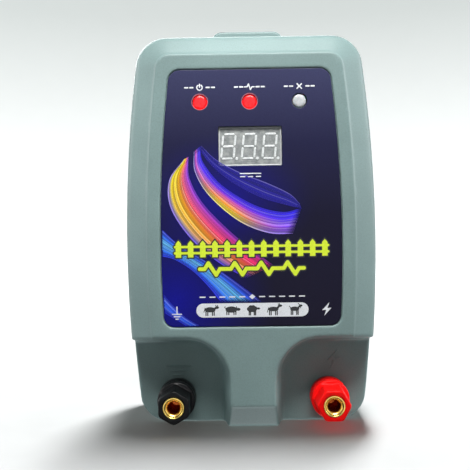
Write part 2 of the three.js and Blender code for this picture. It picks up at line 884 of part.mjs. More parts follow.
// ---- Wires -------------------------------------------------------------------------------
/** A lead along points given as [x, y, depth behind the panel]. */
function makeWire(points, radius) {
  const SIDES = 8;
  const STEPS = 16;
  const route = new THREE.CatmullRomCurve3(
    points.map(([x, y, depth]) => new THREE.Vector3(x, y, -depth)),
    false,
    "centripetal",
  );
  const section = new THREE.Shape(arc(0, 0, radius, 0, 2 * Math.PI, SIDES).slice(0, SIDES));
  return solid(
    new THREE.ExtrudeGeometry(section, { extrudePath: route, steps: STEPS, curveSegments: 1 }),
  );
}

const WIRE = 1.1;
const THIN_WIRE = 0.8;
const BOARD_END = BOARD_BACK + 0.5;
const LUG_END = POST_Y + 14.1;
const WIRE_ROUTES = {
  fence_wire: [
    [POST_X, LUG_END, 20.6],
    [27.5, 29, 21.5],
    [22, 36, 23],
    [15, 41, 20],
    [13.5, 43.5, 14],
    [13.5, 44, BOARD_END],
  ],
  earth_wire: [
    [-POST_X, LUG_END, 20.6],
    [-27.5, 29, 21.5],
    [-24, 36, 22],
    [-21, 41, 18],
    [-20.5, 42.5, 14],
    [-20.5, 43, BOARD_END],
  ],
  supply_wire_positive: [
    [1.6, 15.2, JACK_DEPTH],
    [2.5, 20, 20],
    [4, 28, 19],
    [5.5, 36, 17.5],
    [6, 40.5, 13.5],
    [6, 41.5, BOARD_END],
  ],
  supply_wire_negative: [
    [-1.6, 15.2, JACK_DEPTH],
    [-2.5, 20, 20],
    [-4, 28, 19],
    [-5.5, 36, 17.5],
    [-6, 40.5, 13.5],
    [-6, 41.5, BOARD_END],
  ],
  switch_wire_upper: [
    [24.4, 76, SWITCH.depth],
    [24.2, 79, 19],
    [27, 81, 16],
    [29, 82.2, 13],
    [29, 82.5, BOARD_END],
  ],
  switch_wire_lower: [
    [24.4, 68, SWITCH.depth],
    [25, 65, 19],
    [27.5, 62.5, 16],
    [28.5, 61.5, 13],
    [28.5, 61.2, BOARD_END],
  ],
};

// ---- Materials -----------------------------------------------------------------------------
const finish = (color, roughness, metalness = 0) =>
  new THREE.MeshStandardMaterial({ color, roughness, metalness });

const MATERIALS = {
  case: finish(0x6f8783, 0.5),
  gasket: finish(0x2a2b2c, 0.8),
  steel: finish(0xb4b6b8, 0.35, 1),
  label: finish(0x23244a, 0.3),
  redLens: finish(0xe01818, 0.25),
  clearLens: finish(0xb9bdc0, 0.3),
  display: finish(0x8f9494, 0.5),
  board: finish(0x1f6a3c, 0.45),
  ferrite: finish(0x3a3a3c, 0.6, 0.3),
  bobbin: finish(0x1d1e20, 0.55),
  copper: finish(0xb5622c, 0.35, 0.8),
  film: finish(0x2b5fa8, 0.4),
  sleeve: finish(0x20242c, 0.4),
  aluminium: finish(0xa9adb0, 0.4, 1),
  chip: finish(0x17181a, 0.5),
  glass: finish(0xcfd6d8, 0.1),
  brass: finish(0xd9a441, 0.25, 1),
  black: finish(0x121214, 0.35),
  red: finish(0xd8140f, 0.3),
};

// ---- Assembly --------------------------------------------------------------------------------
const bench = new THREE.Group();

function place(name, made, material) {
  const mesh = new THREE.Mesh(geometryOf(made), MATERIALS[material]);
  mesh.name = name;
  bench.add(mesh);
}

place("front_cover", makeFrontCover(), "case");
place("rear_cover", makeRearCover(), "case");
place("case_gasket", makeGasket(), "gasket");
CASE_SCREWS.forEach((at, i) =>
  place(`case_screw_${i + 1}`, makeScrew(at, REAR_SCREW_SEAT + GAP, 16, 1.3, 2.8), "steel"),
);

place("label_overlay", makeLabel(), "label");
place("power_led", makeLed(-1), "redLens");
place("shock_led", makeLed(0), "redLens");
place("fault_led", makeLed(1), "clearLens");
place("display_module", makeDisplay(), "display");

place("main_board", makeBoard(), "board");
BOARD_SCREWS.forEach((at, i) =>
  place(`board_screw_${i + 1}`, makeScrew(at, BOARD_BACK + GAP, 5, 1.1, 2.3), "steel"),
);
place("pulse_core", makePulseCore(), "ferrite");
place("pulse_bobbin", makePulseBobbin(), "bobbin");
place("pulse_winding", makePulseWinding(), "copper");
place("inverter_core", makeInverterCore(), "ferrite");
place("inverter_winding", makeInverterWinding(), "copper");
place("storage_capacitor", makeStorageCapacitor(), "film");
place("input_capacitor", makeInputCapacitor(), "sleeve");
place("heatsink", makeHeatsink(), "aluminium");
place("mosfet", makePowerDevice(-20, 123.2), "chip");
place("thyristor", makePowerDevice(17.5, 77.6), "chip");
place("controller_chip", makeChip(), "chip");
place("fuse", makeFuse(), "glass");
place("fuse_clip_upper", makeFuseClip(1), "brass");
place("fuse_clip_lower", makeFuseClip(-1), "brass");

const TERMINALS = [
  { name: "earth", x: -POST_X, turn: Math.PI / 6, plastic: "black" },
  { name: "fence", x: POST_X, turn: 0, plastic: "red" },
];
for (const { name, x, turn, plastic } of TERMINALS) {
  place(`${name}_knob`, makeKnob(x, turn), plastic);
  place(`${name}_knob_insert`, makeInsert(x), "brass");
  place(`${name}_stud`, makeStud(x), "brass");
  place(`${name}_collar`, makeCollar(x), plastic);
  place(`${name}_rear_washer`, makeRearWasher(x), plastic);
  place(`${name}_lug`, makeLug(x), "steel");
  place(`${name}_nut`, makeNut(x, 20.1), "brass");
  place(`${name}_lock_nut`, makeNut(x, 23.4), "brass");
}

place("dc_jack_body", makeJackBody(), "black");
place("dc_jack_pin", makeJackPin(), "steel");
place("dc_jack_nut", makeJackNut(), "steel");
place("switch_frame", makeSwitchFrame(), "black");
place("switch_rocker", makeRocker(), "black");

const WIRE_FINISH = {
  fence_wire: "red",
  earth_wire: "black",
  supply_wire_positive: "red",
  supply_wire_negative: "black",
  switch_wire_upper: "red",
  switch_wire_lower: "red",
};
for (const [name, route] of Object.entries(WIRE_ROUTES)) {
  const radius = name.startsWith("switch") ? THIN_WIRE : WIRE;
  place(name, makeWire(route, radius), WIRE_FINISH[name]);
}

bench.rotation.x = Math.PI / 2;
const proud = POST_REACH + INSERT_PROUD - STEP_DEPTH; // of the terminals, past the panel
bench.position.y = (proud - CASE_DEPTH) / 2;

const energizer = new THREE.Group();
energizer.add(bench);
export default energizer;
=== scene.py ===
"""Looks of the fence energizer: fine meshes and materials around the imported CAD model.

Lengths inside the builders are millimetres in the row frame: x to the right, y towards the
back, z up. They become metres when a mesh is made.
"""

import json
import math

import bpy
import numpy as np
import openvdb
from mathutils import Matrix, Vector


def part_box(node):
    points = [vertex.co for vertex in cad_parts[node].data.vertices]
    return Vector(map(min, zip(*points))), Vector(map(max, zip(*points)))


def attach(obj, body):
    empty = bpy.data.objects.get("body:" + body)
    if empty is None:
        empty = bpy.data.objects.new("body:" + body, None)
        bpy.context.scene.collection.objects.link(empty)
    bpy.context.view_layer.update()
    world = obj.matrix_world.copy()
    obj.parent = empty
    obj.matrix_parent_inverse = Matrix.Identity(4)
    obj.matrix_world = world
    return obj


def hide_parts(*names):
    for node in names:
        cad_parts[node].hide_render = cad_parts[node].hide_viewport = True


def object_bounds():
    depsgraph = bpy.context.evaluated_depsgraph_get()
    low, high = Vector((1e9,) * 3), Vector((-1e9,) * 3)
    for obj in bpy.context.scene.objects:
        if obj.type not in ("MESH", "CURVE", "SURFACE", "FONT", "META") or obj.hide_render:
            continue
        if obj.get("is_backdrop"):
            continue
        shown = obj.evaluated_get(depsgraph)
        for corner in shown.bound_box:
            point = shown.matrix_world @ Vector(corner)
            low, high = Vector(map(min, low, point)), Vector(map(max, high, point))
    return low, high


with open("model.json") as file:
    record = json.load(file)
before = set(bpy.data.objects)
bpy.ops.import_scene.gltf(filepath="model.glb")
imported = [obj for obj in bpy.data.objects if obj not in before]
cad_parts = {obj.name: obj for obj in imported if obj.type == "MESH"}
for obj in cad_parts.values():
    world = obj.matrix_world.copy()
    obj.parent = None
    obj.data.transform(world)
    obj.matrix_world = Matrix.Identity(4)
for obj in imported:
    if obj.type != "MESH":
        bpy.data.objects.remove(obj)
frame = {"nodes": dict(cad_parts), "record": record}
CAD_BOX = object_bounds()
SCENE = bpy.context.scene


# ---- Where the CAD pieces are
def box_mm(node):
    low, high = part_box(node)
    return np.array(low) * 1000, np.array(high) * 1000


def middle(node):
    low, high = box_mm(node)
    return (low + high) / 2


PANEL_Y = box_mm("front_cover")[0][1]
BACK_Y = box_mm("front_cover")[1][1]
RIM = BACK_Y - PANEL_Y
REAR_TO = box_mm("rear_cover")[1][1]
CASE_DEPTH = REAR_TO - PANEL_Y
WIDEST_AT = 67.3
SIDE_RADIUS = 490.0
HALF_WIDTH = 45.0
CASE_TOP = 140.8
CORNER = 9.2
WALL = 2.2
DRAFT = math.tan(math.radians(1.5))
BEVEL_DROP = 5.5
PANEL = {"half": 36.7, "bottom": 8.7, "top": 133.2, "corner": 4.0}
STEP_DEPTH = 14.5
SCREW_SEAT = 38.0
TRAY_DEPTH = 0.75
LABEL_LOW, LABEL_HIGH = box_mm("label_overlay")
POSTS = {name: middle(f"{name}_stud") for name in ("earth", "fence")}
FLOOR_Y = PANEL_Y + STEP_DEPTH


# ---- Distance fields and the meshes made from them
def round_max(a, b, r):
    """Both solids at once, their shared convex edge rounded to radius r."""
    corner = np.sqrt(np.maximum(a + r, 0) ** 2 + np.maximum(b + r, 0) ** 2)
    return np.minimum(np.maximum(a, b), -r) + corner


def round_cut(body, tool, r):
    return round_max(body, -tool, r)


def round_join(a, b, r):
    """Either solid, the corner between them filled to radius r."""
    return -round_max(-a, -b, r)


def corner_distance(qx, qz):
    return np.hypot(np.maximum(qx, 0), np.maximum(qz, 0)) + np.minimum(np.maximum(qx, qz), 0)


def bowed(x, z, half, bottom, top, corner):
    """Distance from the bowed outline that the case, the panel and the label share."""
    bow = (z - WIDEST_AT) ** 2 / (2 * SIDE_RADIUS)
    qx = np.abs(x) + bow - half + corner
    qz = np.maximum(z - top, bottom - z) + corner
    return corner_distance(qx, qz) - corner


def block(p, low, high, r=0.0):
    """Distance from a box, its edges rounded to radius r."""
    q = [np.abs(c - (a + b) / 2) - (b - a) / 2 + r for c, a, b in zip(p, low, high)]
    outside = np.sqrt(sum(np.maximum(v, 0) ** 2 for v in q))
    return outside + np.minimum(np.maximum(np.maximum(q[0], q[1]), q[2]), 0) - r


def axes(low, high, step):
    """Coordinates of a grid over a box, as three arrays that broadcast together."""
    lines = [np.arange(a - 3 * step, b + 3 * step, step, dtype=np.float32) for a, b in zip(low, high)]
    return np.meshgrid(*lines, indexing="ij", sparse=True)


def put(name, mesh, body, replaced=(), slot=None, material=None):
    """Adds a mesh as a piece that rides on a body and stands for CAD nodes."""
    piece = bpy.data.objects.new(name, mesh)
    SCENE.collection.objects.link(piece)
    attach(piece, body)
    if replaced:
        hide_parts(*([replaced] if isinstance(replaced, str) else replaced))
    if material:
        mesh.materials.append(material)
    return piece


def smooth(mesh, angle=None):
    mesh.polygons.foreach_set("use_smooth", np.ones(len(mesh.polygons), bool))
    if angle is not None:
        mesh.set_sharp_from_angle(angle=math.radians(angle))
    mesh.update()
    return mesh


def field_mesh(name, field, grid, step, adaptivity=0.0, settle=None, flat=False):
    """The surface where a distance field is zero. settle moves its points where they belong."""
    limit = 3 * step
    volume = openvdb.FloatGrid(limit)
    volume.copyFromArray(np.ascontiguousarray(np.clip(field, -limit, limit)), tolerance=0.0)
    points, triangles, quads = volume.convertToPolygons(isovalue=0.0, adaptivity=adaptivity)
    origin = np.array([g.ravel()[0] for g in grid])
    points = points * step + origin
    if settle:
        points = settle(points)
    points = np.clip(points, *(np.array(corner) * 1000 for corner in CAD_BOX))
    faces = [f[::-1] for f in triangles.tolist()] + [f[::-1] for f in quads.tolist()]
    mesh = bpy.data.meshes.new(name)
    mesh.from_pydata((points / 1000).tolist(), [], faces)
    mesh.update()
    return mesh if flat else smooth(mesh)


def lathe_mesh(name, profile, centre, axis="y", segments=72, sharp=38):
    """A turned piece. profile holds (radius, position along the axis) pairs, closed in order.
    centre holds the axis's other two coordinates."""
    angles = np.linspace(0, 2 * math.pi, segments, endpoint=False)
    points, rows = [], []
    for radius, along in profile:
        around = [(radius, 0.0)] if radius < 1e-6 else [
            (radius * math.cos(t), radius * math.sin(t)) for t in angles
        ]
        rows.append(list(range(len(points), len(points) + len(around))))
        for a, b in around:
            u, v = centre[0] + a, centre[1] + b
            points.append({"y": (u, along, v), "z": (u, v, along)}[axis])
    faces = []
    closed = profile[0][0] > 1e-6
    pairs = list(zip(rows, rows[1:])) + ([(rows[-1], rows[0])] if closed else [])
    for a, b in pairs:
        for i in range(segments):
            j = (i + 1) % segments
            corners = [a[i % len(a)], a[j % len(a)], b[j % len(b)], b[i % len(b)]]
            unique = list(dict.fromkeys(corners))
            if len(unique) > 2:
                faces.append(unique)
    mesh = bpy.data.meshes.new(name)
    mesh.from_pydata([tuple(c / 1000 for c in p) for p in points], [], faces)
    face_out(mesh)
    return smooth(mesh, sharp)


def turned(name, profile, centre, body, node, slot, material, axis="y", segments=96):
    """A turned piece that stands for a CAD node."""
    mesh = lathe_mesh(name, profile, centre, axis, segments)
    return put(name, mesh, body, node, slot, material)


def face_out(mesh):
    """Turns a closed mesh's faces outwards."""
    mesh.calc_loop_triangles()
    co = np.array([v.co for v in mesh.vertices])
    tri = np.array([t.vertices for t in mesh.loop_triangles])
    volume = np.einsum("ij,ij->i", co[tri[:, 0]], np.cross(co[tri[:, 1]], co[tri[:, 2]])).sum()
    if volume < 0:
        mesh.flip_normals()
    mesh.update()


# ---- Marks: the distance fields of small flat shapes
def stroke(x, z, points, width, closed=False):
    """Distance from a line of round-ended strokes."""
    points = list(points) + ([points[0]] if closed else [])
    best = np.float32(1e3)
    for (ax, az), (bx, bz) in zip(points, points[1:]):
        length = max((bx - ax) ** 2 + (bz - az) ** 2, 1e-9)
        t = np.clip(((x - ax) * (bx - ax) + (z - az) * (bz - az)) / length, 0, 1)
        best = np.minimum(best, np.hypot(x - ax - t * (bx - ax), z - az - t * (bz - az)))
    return best - width / 2


def polygon(x, z, points):
    """Distance from a polygon."""
    best, sign = np.float32(1e6), 1.0
    for (ax, az), (bx, bz) in zip(points, points[-1:] + points[:-1]):
        ex, ez, wx, wz = bx - ax, bz - az, x - ax, z - az
        t = np.clip((wx * ex + wz * ez) / (ex * ex + ez * ez), 0, 1)
        best = np.minimum(best, (wx - ex * t) ** 2 + (wz - ez * t) ** 2)
        above, below, left = z >= az, z < bz, ex * wz > ez * wx
        sign = np.where((above & below & left) | (~above & ~below & ~left), -sign, sign)
    return sign * np.sqrt(best)


def pad(x, z, cx, cz, half_x, half_z, r=0.1):
    """Distance from a rectangle with rounded corners."""
    return corner_distance(np.abs(x - cx) - half_x + r, np.abs(z - cz) - half_z + r) - r


def oval(x, z, cx, cz, rx, rz):
    """Roughly the distance from an ellipse."""
    k = np.hypot((x - cx) / rx, (z - cz) / rz)
    return (k - 1) * min(rx, rz)


def union(*fields):
    best = fields[0]
    for field in fields[1:]:
        best = np.minimum(best, field)
    return best


def earth_bars(x, z, cx, cz, halves, pitch, width, stem=0.0):
    """The three shortening bars of an earth terminal, under a stem of some length."""
    bars = [
        stroke(x, z, [(cx - half, cz - i * pitch), (cx + half, cz - i * pitch)], width)
        for i, half in enumerate(halves)
    ]
    if stem:
        bars.append(stroke(x, z, [(cx, cz), (cx, cz + stem)], width))
    return union(*bars)


def bolt(x, z, cx, cz, size):
    """A spark, size tall, its middle at (cx, cz)."""
    outline = [(0.2, 0.5), (-0.36, -0.08), (-0.04, -0.05), (-0.2, -0.5), (0.36, 0.1), (0.04, 0.07)]
    return polygon(x, z, [(cx + size * a, cz + size * b) for a, b in outline])


def relief(name, field, extent, front, thick, material, slot="label_film", step=0.1, r=0.0):
    """A flat shape standing thick proud: its front is at depth front behind the panel."""
    x0, x1, z0, z1 = extent
    x, _, z = axes((x0, 0, z0), (x1, 0, z1), step)
    half = 2 * step
    t = np.arange(-5, 6, dtype=np.float32).reshape(1, -1, 1) * step
    flat = field(x, z) + 0 * t
    cap = np.abs(t) - half
    solid = round_max(flat, cap, r) if r else np.maximum(flat, cap)
    centre = PANEL_Y + front + thick / 2

    def settle(points):
        points[:, 1] = centre + points[:, 1] * thick / (2 * half)
        return points

    mesh = field_mesh(name, solid, (x, t, z), step, 0.02, settle, flat=not r)
    return put(name, mesh, "case", slot=slot, material=material)


# ---- Materials
def srgb(*rgb):
    """A linear colour from 0 to 255 sRGB numbers."""
    unit = [v / 255 for v in rgb]
    return tuple(c / 12.92 if c <= 0.04045 else ((c + 0.055) / 1.055) ** 2.4 for c in unit)


class Shader:
    """A node material: a Principled surface fed by small procedural networks."""

    def __init__(self, name, roughness=0.4, metallic=0.0, **sockets):
        self.material = bpy.data.materials.new(name)
        self.material.use_nodes = True
        self.tree = self.material.node_tree
        self.surface = self.tree.nodes["Principled BSDF"]
        self.set("Roughness", roughness)
        self.set("Metallic", metallic)
        for key, value in sockets.items():
            self.set(key.replace("_", " "), value)
        self.place = self.add("ShaderNodeTexCoord").outputs["Object"]

    def set(self, socket, value):
        self.surface.inputs[socket].default_value = value

    def add(self, kind, **inputs):
        node = self.tree.nodes.new(kind)
        for key, value in inputs.items():
            self.feed(node.inputs[key], value)
        return node

    def feed(self, socket, value):
        """Links a node's output to a socket, or sets the socket to a plain value."""
        if isinstance(value, bpy.types.NodeSocket):
            self.tree.links.new(value, socket)
        else:
            socket.default_value = value

    def link(self, output, socket):
        self.tree.links.new(output, self.surface.inputs[socket])

    def noise(self, per_mm, detail=3.0, rough=0.55, stretch=(1, 1, 1)):
        """Noise whose grain is given in cycles per millimetre."""
        scaled = self.add("ShaderNodeMapping", Vector=self.place, Scale=stretch).outputs[0]
        grain = {"Scale": per_mm * 1000, "Detail": detail, "Roughness": rough}
        return self.add("ShaderNodeTexNoise", Vector=scaled, **grain).outputs["Fac"]

    def ramp(self, factor, *stops):
        """A colour ramp of (position, colour) stops; a colour may be one grey number."""
        node = self.add("ShaderNodeValToRGB", Fac=factor)
        ramp = node.color_ramp
        while len(ramp.elements) < len(stops):
            ramp.elements.new(0.5)
        for element, (position, colour) in zip(ramp.elements, stops):
            grey = not isinstance(colour, tuple)
            element.position = position
            element.color = (colour, colour, colour, 1) if grey else (*colour, 1)
        return node.outputs["Color"]

    def mix(self, factor, a, b, blend="MIX"):
        node = self.tree.nodes.new("ShaderNodeMix")
        node.data_type = "RGBA"
        node.blend_type = blend
        for socket, value in zip((node.inputs[0], node.inputs[6], node.inputs[7]), (factor, a, b)):
            plain = isinstance(value, (int, float, bpy.types.NodeSocket))
            self.feed(socket, value if plain else (*value, 1))
        return node.outputs[2]

    def math(self, operation, a, b=0.0, clamp=False):
        node = self.tree.nodes.new("ShaderNodeMath")
        node.operation = operation
        node.use_clamp = clamp
        for socket, value in zip(node.inputs, (a, b)):
            self.feed(socket, value)
        return node.outputs[0]

    def part(self, axis):
        """One coordinate in millimetres."""
        split = self.add("ShaderNodeSeparateXYZ", Vector=self.place)
        return self.math("MULTIPLY", split.outputs["XYZ".index(axis)], 1000.0)

    def across(self, value, low, high):
        """0 to 1 as value goes from low to high."""
        ends = {"From Min": low, "From Max": high}
        return self.add("ShaderNodeMapRange", Value=value, **ends).outputs["Result"]

    def bump(self, height, depth_mm):
        node = self.add("ShaderNodeBump", Height=height, Strength=1.0, Distance=depth_mm / 1000)
        self.link(node.outputs[0], "Normal")

    def speckle(self, base, light, dark, per_mm, spread=0.14):
        """Base colour with a fine mottle of a lighter and a darker tone."""
        fine = self.noise(per_mm)
        low, high = 0.5 - spread, 0.5 + spread
        self.link(self.ramp(fine, (low, dark), (0.5, base), (high, light)), "Base Color")
        return fine


def moulded(name, base, roughness, grain=0.012, per_mm=2.2, wear=0.35, **sockets):
    """Injection-moulded plastic: spark-eroded texture, faint flow tone and rubbed edges."""
    made = Shader(name, roughness, **sockets)
    fine = made.noise(per_mm, 4.0, 0.6)
    broad = made.noise(0.035, 2.0)
    lighter = tuple(min(1, c * 1.10 + 0.003) for c in base)
    darker = tuple(c * 0.92 for c in base)
    tone = made.ramp(broad, (0.3, darker), (0.5, base), (0.7, lighter))
    pits = made.ramp(fine, (0.32, 0.9), (0.5, 1.0), (0.72, 1.06))
    colour = made.mix(1.0, tone, pits, "MULTIPLY")
    point = made.tree.nodes.new("ShaderNodeNewGeometry").outputs["Pointiness"]
    edge = made.across(point, 0.515, 0.56)
    worn = tuple(min(1, c * 1.25 + 0.02) for c in base)
    made.link(made.mix(made.math("MULTIPLY", edge, wear), colour, worn), "Base Color")
    rough = made.ramp(fine, (0.3, roughness * 0.88), (0.7, min(1.0, roughness * 1.14)))
    made.link(rough, "Roughness")
    made.bump(fine, grain)
    return made.material


def metal(name, base, roughness, per_mm=6.0, grain=0.004, stretch=(1, 1, 1)):
    made = Shader(name, roughness, 1.0)
    fine = made.noise(per_mm, 4.0, 0.6, stretch)
    dull = made.noise(0.4, 3.0)
    darker = tuple(c * 0.82 for c in base)
    made.link(made.ramp(dull, (0.3, darker), (0.65, base)), "Base Color")
    made.link(made.ramp(fine, (0.3, roughness * 0.7), (0.7, roughness * 1.4)), "Roughness")
    made.bump(fine, grain)
    return made.material


CASE_TONE = srgb(117, 140, 139)
case_plastic = moulded("case_plastic", CASE_TONE, 0.46, 0.014, 2.4, Specular_IOR_Level=0.45)
black_plastic = moulded(
    "black_plastic", srgb(7, 7, 9), 0.36, 0.006, 3.0, 0.06, Specular_IOR_Level=0.16
)
red_plastic = moulded(
    "red_plastic", srgb(238, 5, 4), 0.36, 0.005, 3.0, 0.02, Specular_IOR_Level=0.12
)
rubber = moulded("gasket_rubber", srgb(40, 42, 43), 0.75, 0.02, 3.0, 0.1)
brass = metal("bright_brass", srgb(252, 220, 124), 0.24)
steel = metal("plated_steel", srgb(196, 198, 200), 0.28)
tinned = metal("tinned_steel", srgb(205, 206, 206), 0.35, 4.0)
aluminium = metal("extruded_aluminium", srgb(190, 193, 196), 0.38, 3.0, 0.006, (1, 0.1, 1))
copper = metal("enamelled_copper", srgb(196, 108, 58), 0.3, 5.0, 0.01, (1, 1, 4))
lamination = metal("lacquered_lamination", srgb(74, 76, 80), 0.5, 2.0, 0.02, (1, 8, 1))
chip_plastic = moulded("chip_plastic", srgb(32, 33, 36), 0.55, 0.01, 5.0, 0.1)
red_sleeve = moulded("red_sleeve", srgb(190, 30, 24), 0.42, 0.004, 3.0, 0.05)
black_sleeve = moulded("black_sleeve", srgb(24, 24, 26), 0.42, 0.004, 3.0, 0.05)
film_blue = moulded("capacitor_blue", srgb(38, 88, 158), 0.35, 0.01, 1.5, 0.2)
sleeve_dark = moulded("capacitor_sleeve", srgb(30, 36, 52), 0.35, 0.004, 3.0, 0.1)


def board_material():
    made = Shader("solder_mask", 0.38, Coat_Weight=0.3)
    tracks = made.add("ShaderNodeTexBrick", Vector=made.place, Scale=180.0).outputs["Fac"]
    mask = made.mix(tracks, srgb(22, 92, 48), srgb(30, 122, 62))
    pits = made.ramp(made.noise(1.5), (0.35, 0.85), (0.65, 1.08))
    made.link(made.mix(1.0, mask, pits, "MULTIPLY"), "Base Color")
    made.bump(tracks, 0.03)
    return made.material


def glass_material():
    made = Shader("fuse_glass", 0.06, Transmission_Weight=0.9, IOR=1.5)
    made.speckle(srgb(226, 232, 232), srgb(240, 244, 244), srgb(206, 214, 216), 0.6)
    return made.material


KEPT = (
    (rubber, "case_gasket"),
    (board_material(), "main_board"),
    (lamination, "pulse_core inverter_core"),
    (copper, "pulse_winding inverter_winding"),
    (film_blue, "storage_capacitor"),
    (sleeve_dark, "input_capacitor"),
    (aluminium, "heatsink"),
    (chip_plastic, "mosfet thyristor controller_chip"),
    (glass_material(), "fuse"),
    (brass, "fuse_clip_upper fuse_clip_lower earth_nut earth_lock_nut fence_nut fence_lock_nut"),
    (red_sleeve, "fence_wire supply_wire_positive switch_wire_upper switch_wire_lower"),
    (black_sleeve, "earth_wire supply_wire_negative"),
    (tinned, "dc_jack_nut earth_lug fence_lug"),
    (steel, "board_screw_1 board_screw_2 board_screw_3 board_screw_4"),
    (black_plastic, "pulse_bobbin switch_frame switch_rocker earth_rear_washer"),
    (red_plastic, "fence_rear_washer"),
)
for material, nodes in KEPT:
    for node in nodes.split():
        surface = frame["nodes"][node].data.materials
        surface.clear()
        surface.append(material)


# ---- Camera, light and floor
def set_stage():
    camera = bpy.data.objects.new("camera", bpy.data.cameras.new("camera"))
    SCENE.collection.objects.link(camera)
    camera.data.sensor_width = 36.0
    camera.data.lens = 36.0 * 710 / 470
    camera.data.clip_start = 0.005
    turn = Matrix.Rotation(math.radians(0.44), 4, "Z")
    tilt = Matrix.Rotation(math.radians(90 - 0.16), 4, "X")
    roll = Matrix.Rotation(math.radians(-0.8), 4, "Z")
    spot = Matrix.Translation((-0.00385, (PANEL_Y - 250) / 1000, 0.07))
    camera.matrix_world = spot @ turn @ tilt @ roll
    SCENE.camera = camera
    SCENE.view_settings.view_transform = "Standard"

    def lamp(name, place, target, size, watts, tint=(1, 1, 1)):
        light = bpy.data.lights.new(name, "AREA")
        light.shape = "RECTANGLE"
        light.size, light.size_y = size
        light.energy = watts
        light.color = tint
        holder = bpy.data.objects.new(name, light)
        SCENE.collection.objects.link(holder)
        holder.location = place
        direction = Matrix.Translation(target).translation - holder.location
        holder.rotation_euler = direction.to_track_quat("-Z", "Y").to_euler()
        return holder

    target = (0, PANEL_Y / 1000, 0.086)
    front = PANEL_Y / 1000
    cool = (0.97, 0.99, 1.0)
    part_lamps = [
        lamp("key", (0.02, front - 0.185, 0.41), target, (0.28, 0.12), 2.75, (1.0, 0.995, 0.98)),
        lamp("fill", (0.4, -0.5, 0.85), target, (0.3, 0.3), 0.5, cool),
        lamp("bounce", (0, front - 0.012, -0.35), (0, front, 0), (0.4, 0.1), 0.95, cool),
        lamp("back", (-0.25, 0.9, 0.6), target, (0.8, 0.5), 13.0),
        lamp("left_side", (-0.8, 0.06, 0.35), target, (0.4, 0.4), 3.0, cool),
        lamp("right_side", (0.8, 0.06, 0.35), target, (0.4, 0.4), 4.0, cool),
    ]
    top_lamp = lamp("top", (0.14, 0.32, 1.5), (0, front, 0), (0.16, 0.6), 42.0)

    world = bpy.data.worlds.new("studio")
    world.use_nodes = True
    world.node_tree.nodes["Background"].inputs[0].default_value = (0.93, 0.97, 1.0, 1)
    world.node_tree.nodes["Background"].inputs[1].default_value = 0.11
    SCENE.world = world

    # the floor is a wide dish: flat under the object, curving up into a wall all round
    flat, bend, rise, sides = 1.1, 1.5, 3.2, 96
    rows = [(flat / 2, 0.0), (flat, 0.0)]
    rows += [
        (flat + bend * math.sin(t), bend * (1 - math.cos(t)))
        for t in np.linspace(0, math.pi / 2, 24)[1:]
    ]
    rows.append((flat + bend, rise))
    angles = [2 * math.pi * i / sides for i in range(sides)]
    points = [(0, 0, 0)] + [(r * math.cos(a), r * math.sin(a), z) for r, z in rows for a in angles]
    faces = [(0, 1 + i, 1 + (i + 1) % sides) for i in range(sides)]
    for row in range(len(rows) - 1):
        first = 1 + row * sides
        for i in range(sides):
            j = (i + 1) % sides
            faces.append((first + i, first + sides + i, first + sides + j, first + j))
    mesh = bpy.data.meshes.new("floor")
    mesh.from_pydata(points, [], faces)
    smooth(mesh)
    paper = Shader("paper", 0.9)
    paper.speckle(srgb(188, 190, 190), srgb(191, 193, 193), srgb(185, 187, 187), 0.02)
    out = paper.math("SQRT", paper.math("ADD", *(
        paper.math("MULTIPLY", paper.part(axis), paper.part(axis)) for axis in "XY"
    )))
    # painted light: the floor's brightness is mostly its own glow, not lamp light; the glow is dim within
    # 80 mm of the middle, where the floor lamp and the part's shadow show, bright farther out and a little
    # dimmer up the walls
    near, far, high = (0.04, 0.036, 0.032), (0.84, 0.865, 0.855), (0.6, 0.64, 0.625)
    painted_floor_glow = paper.ramp(paper.across(out, 80, 900), (0.0, near), (1.0, far))
    paper.link(paper.mix(paper.across(paper.part("Z"), 200, 900), painted_floor_glow, high), "Emission Color")
    paper.set("Emission Strength", 1.0)
    mesh.materials.append(paper.material)
    floor = bpy.data.objects.new("floor", mesh)
    SCENE.collection.objects.link(floor)
    floor.visible_diffuse = False
    floor.visible_shadow = False
    floor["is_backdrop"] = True

    # the floor has its own lamp, which the part shades and isn't lit by
    links = (("floor_only", "INCLUDE", [top_lamp]), ("not_floor", "EXCLUDE", part_lamps))
    for name, state, lamps in links:
        group = bpy.data.collections.new(name)
        group.objects.link(floor)
        group.collection_objects[0].light_linking.link_state = state
        for holder in lamps:
            holder.light_linking.receiver_collection = group


set_stage()


# ---- The two shells
def step_tool(x, d, z, side):
    """The space of one stepped corner, its floor filleted into its walls."""
    lean = 2.6 * np.clip(d, -3, STEP_DEPTH + 3) / STEP_DEPTH
    radius = 15.7 - lean
    qx = 8.1 + lean - side * x + radius
    qz = z - (32.9 - lean) + radius
    wall = corner_distance(qx, qz) - radius
    return round_max(wall, d - STEP_DEPTH, 1.3)


def panel_profile(s):
    """Depth of the sloping border at a distance s outside the panel's edge."""
    t = np.clip((s + 0.1) / 0.7, 0, 1)
    return 0.55 * t * t * (3 - 2 * t) + 0.605 * np.maximum(s - 0.1, 0)


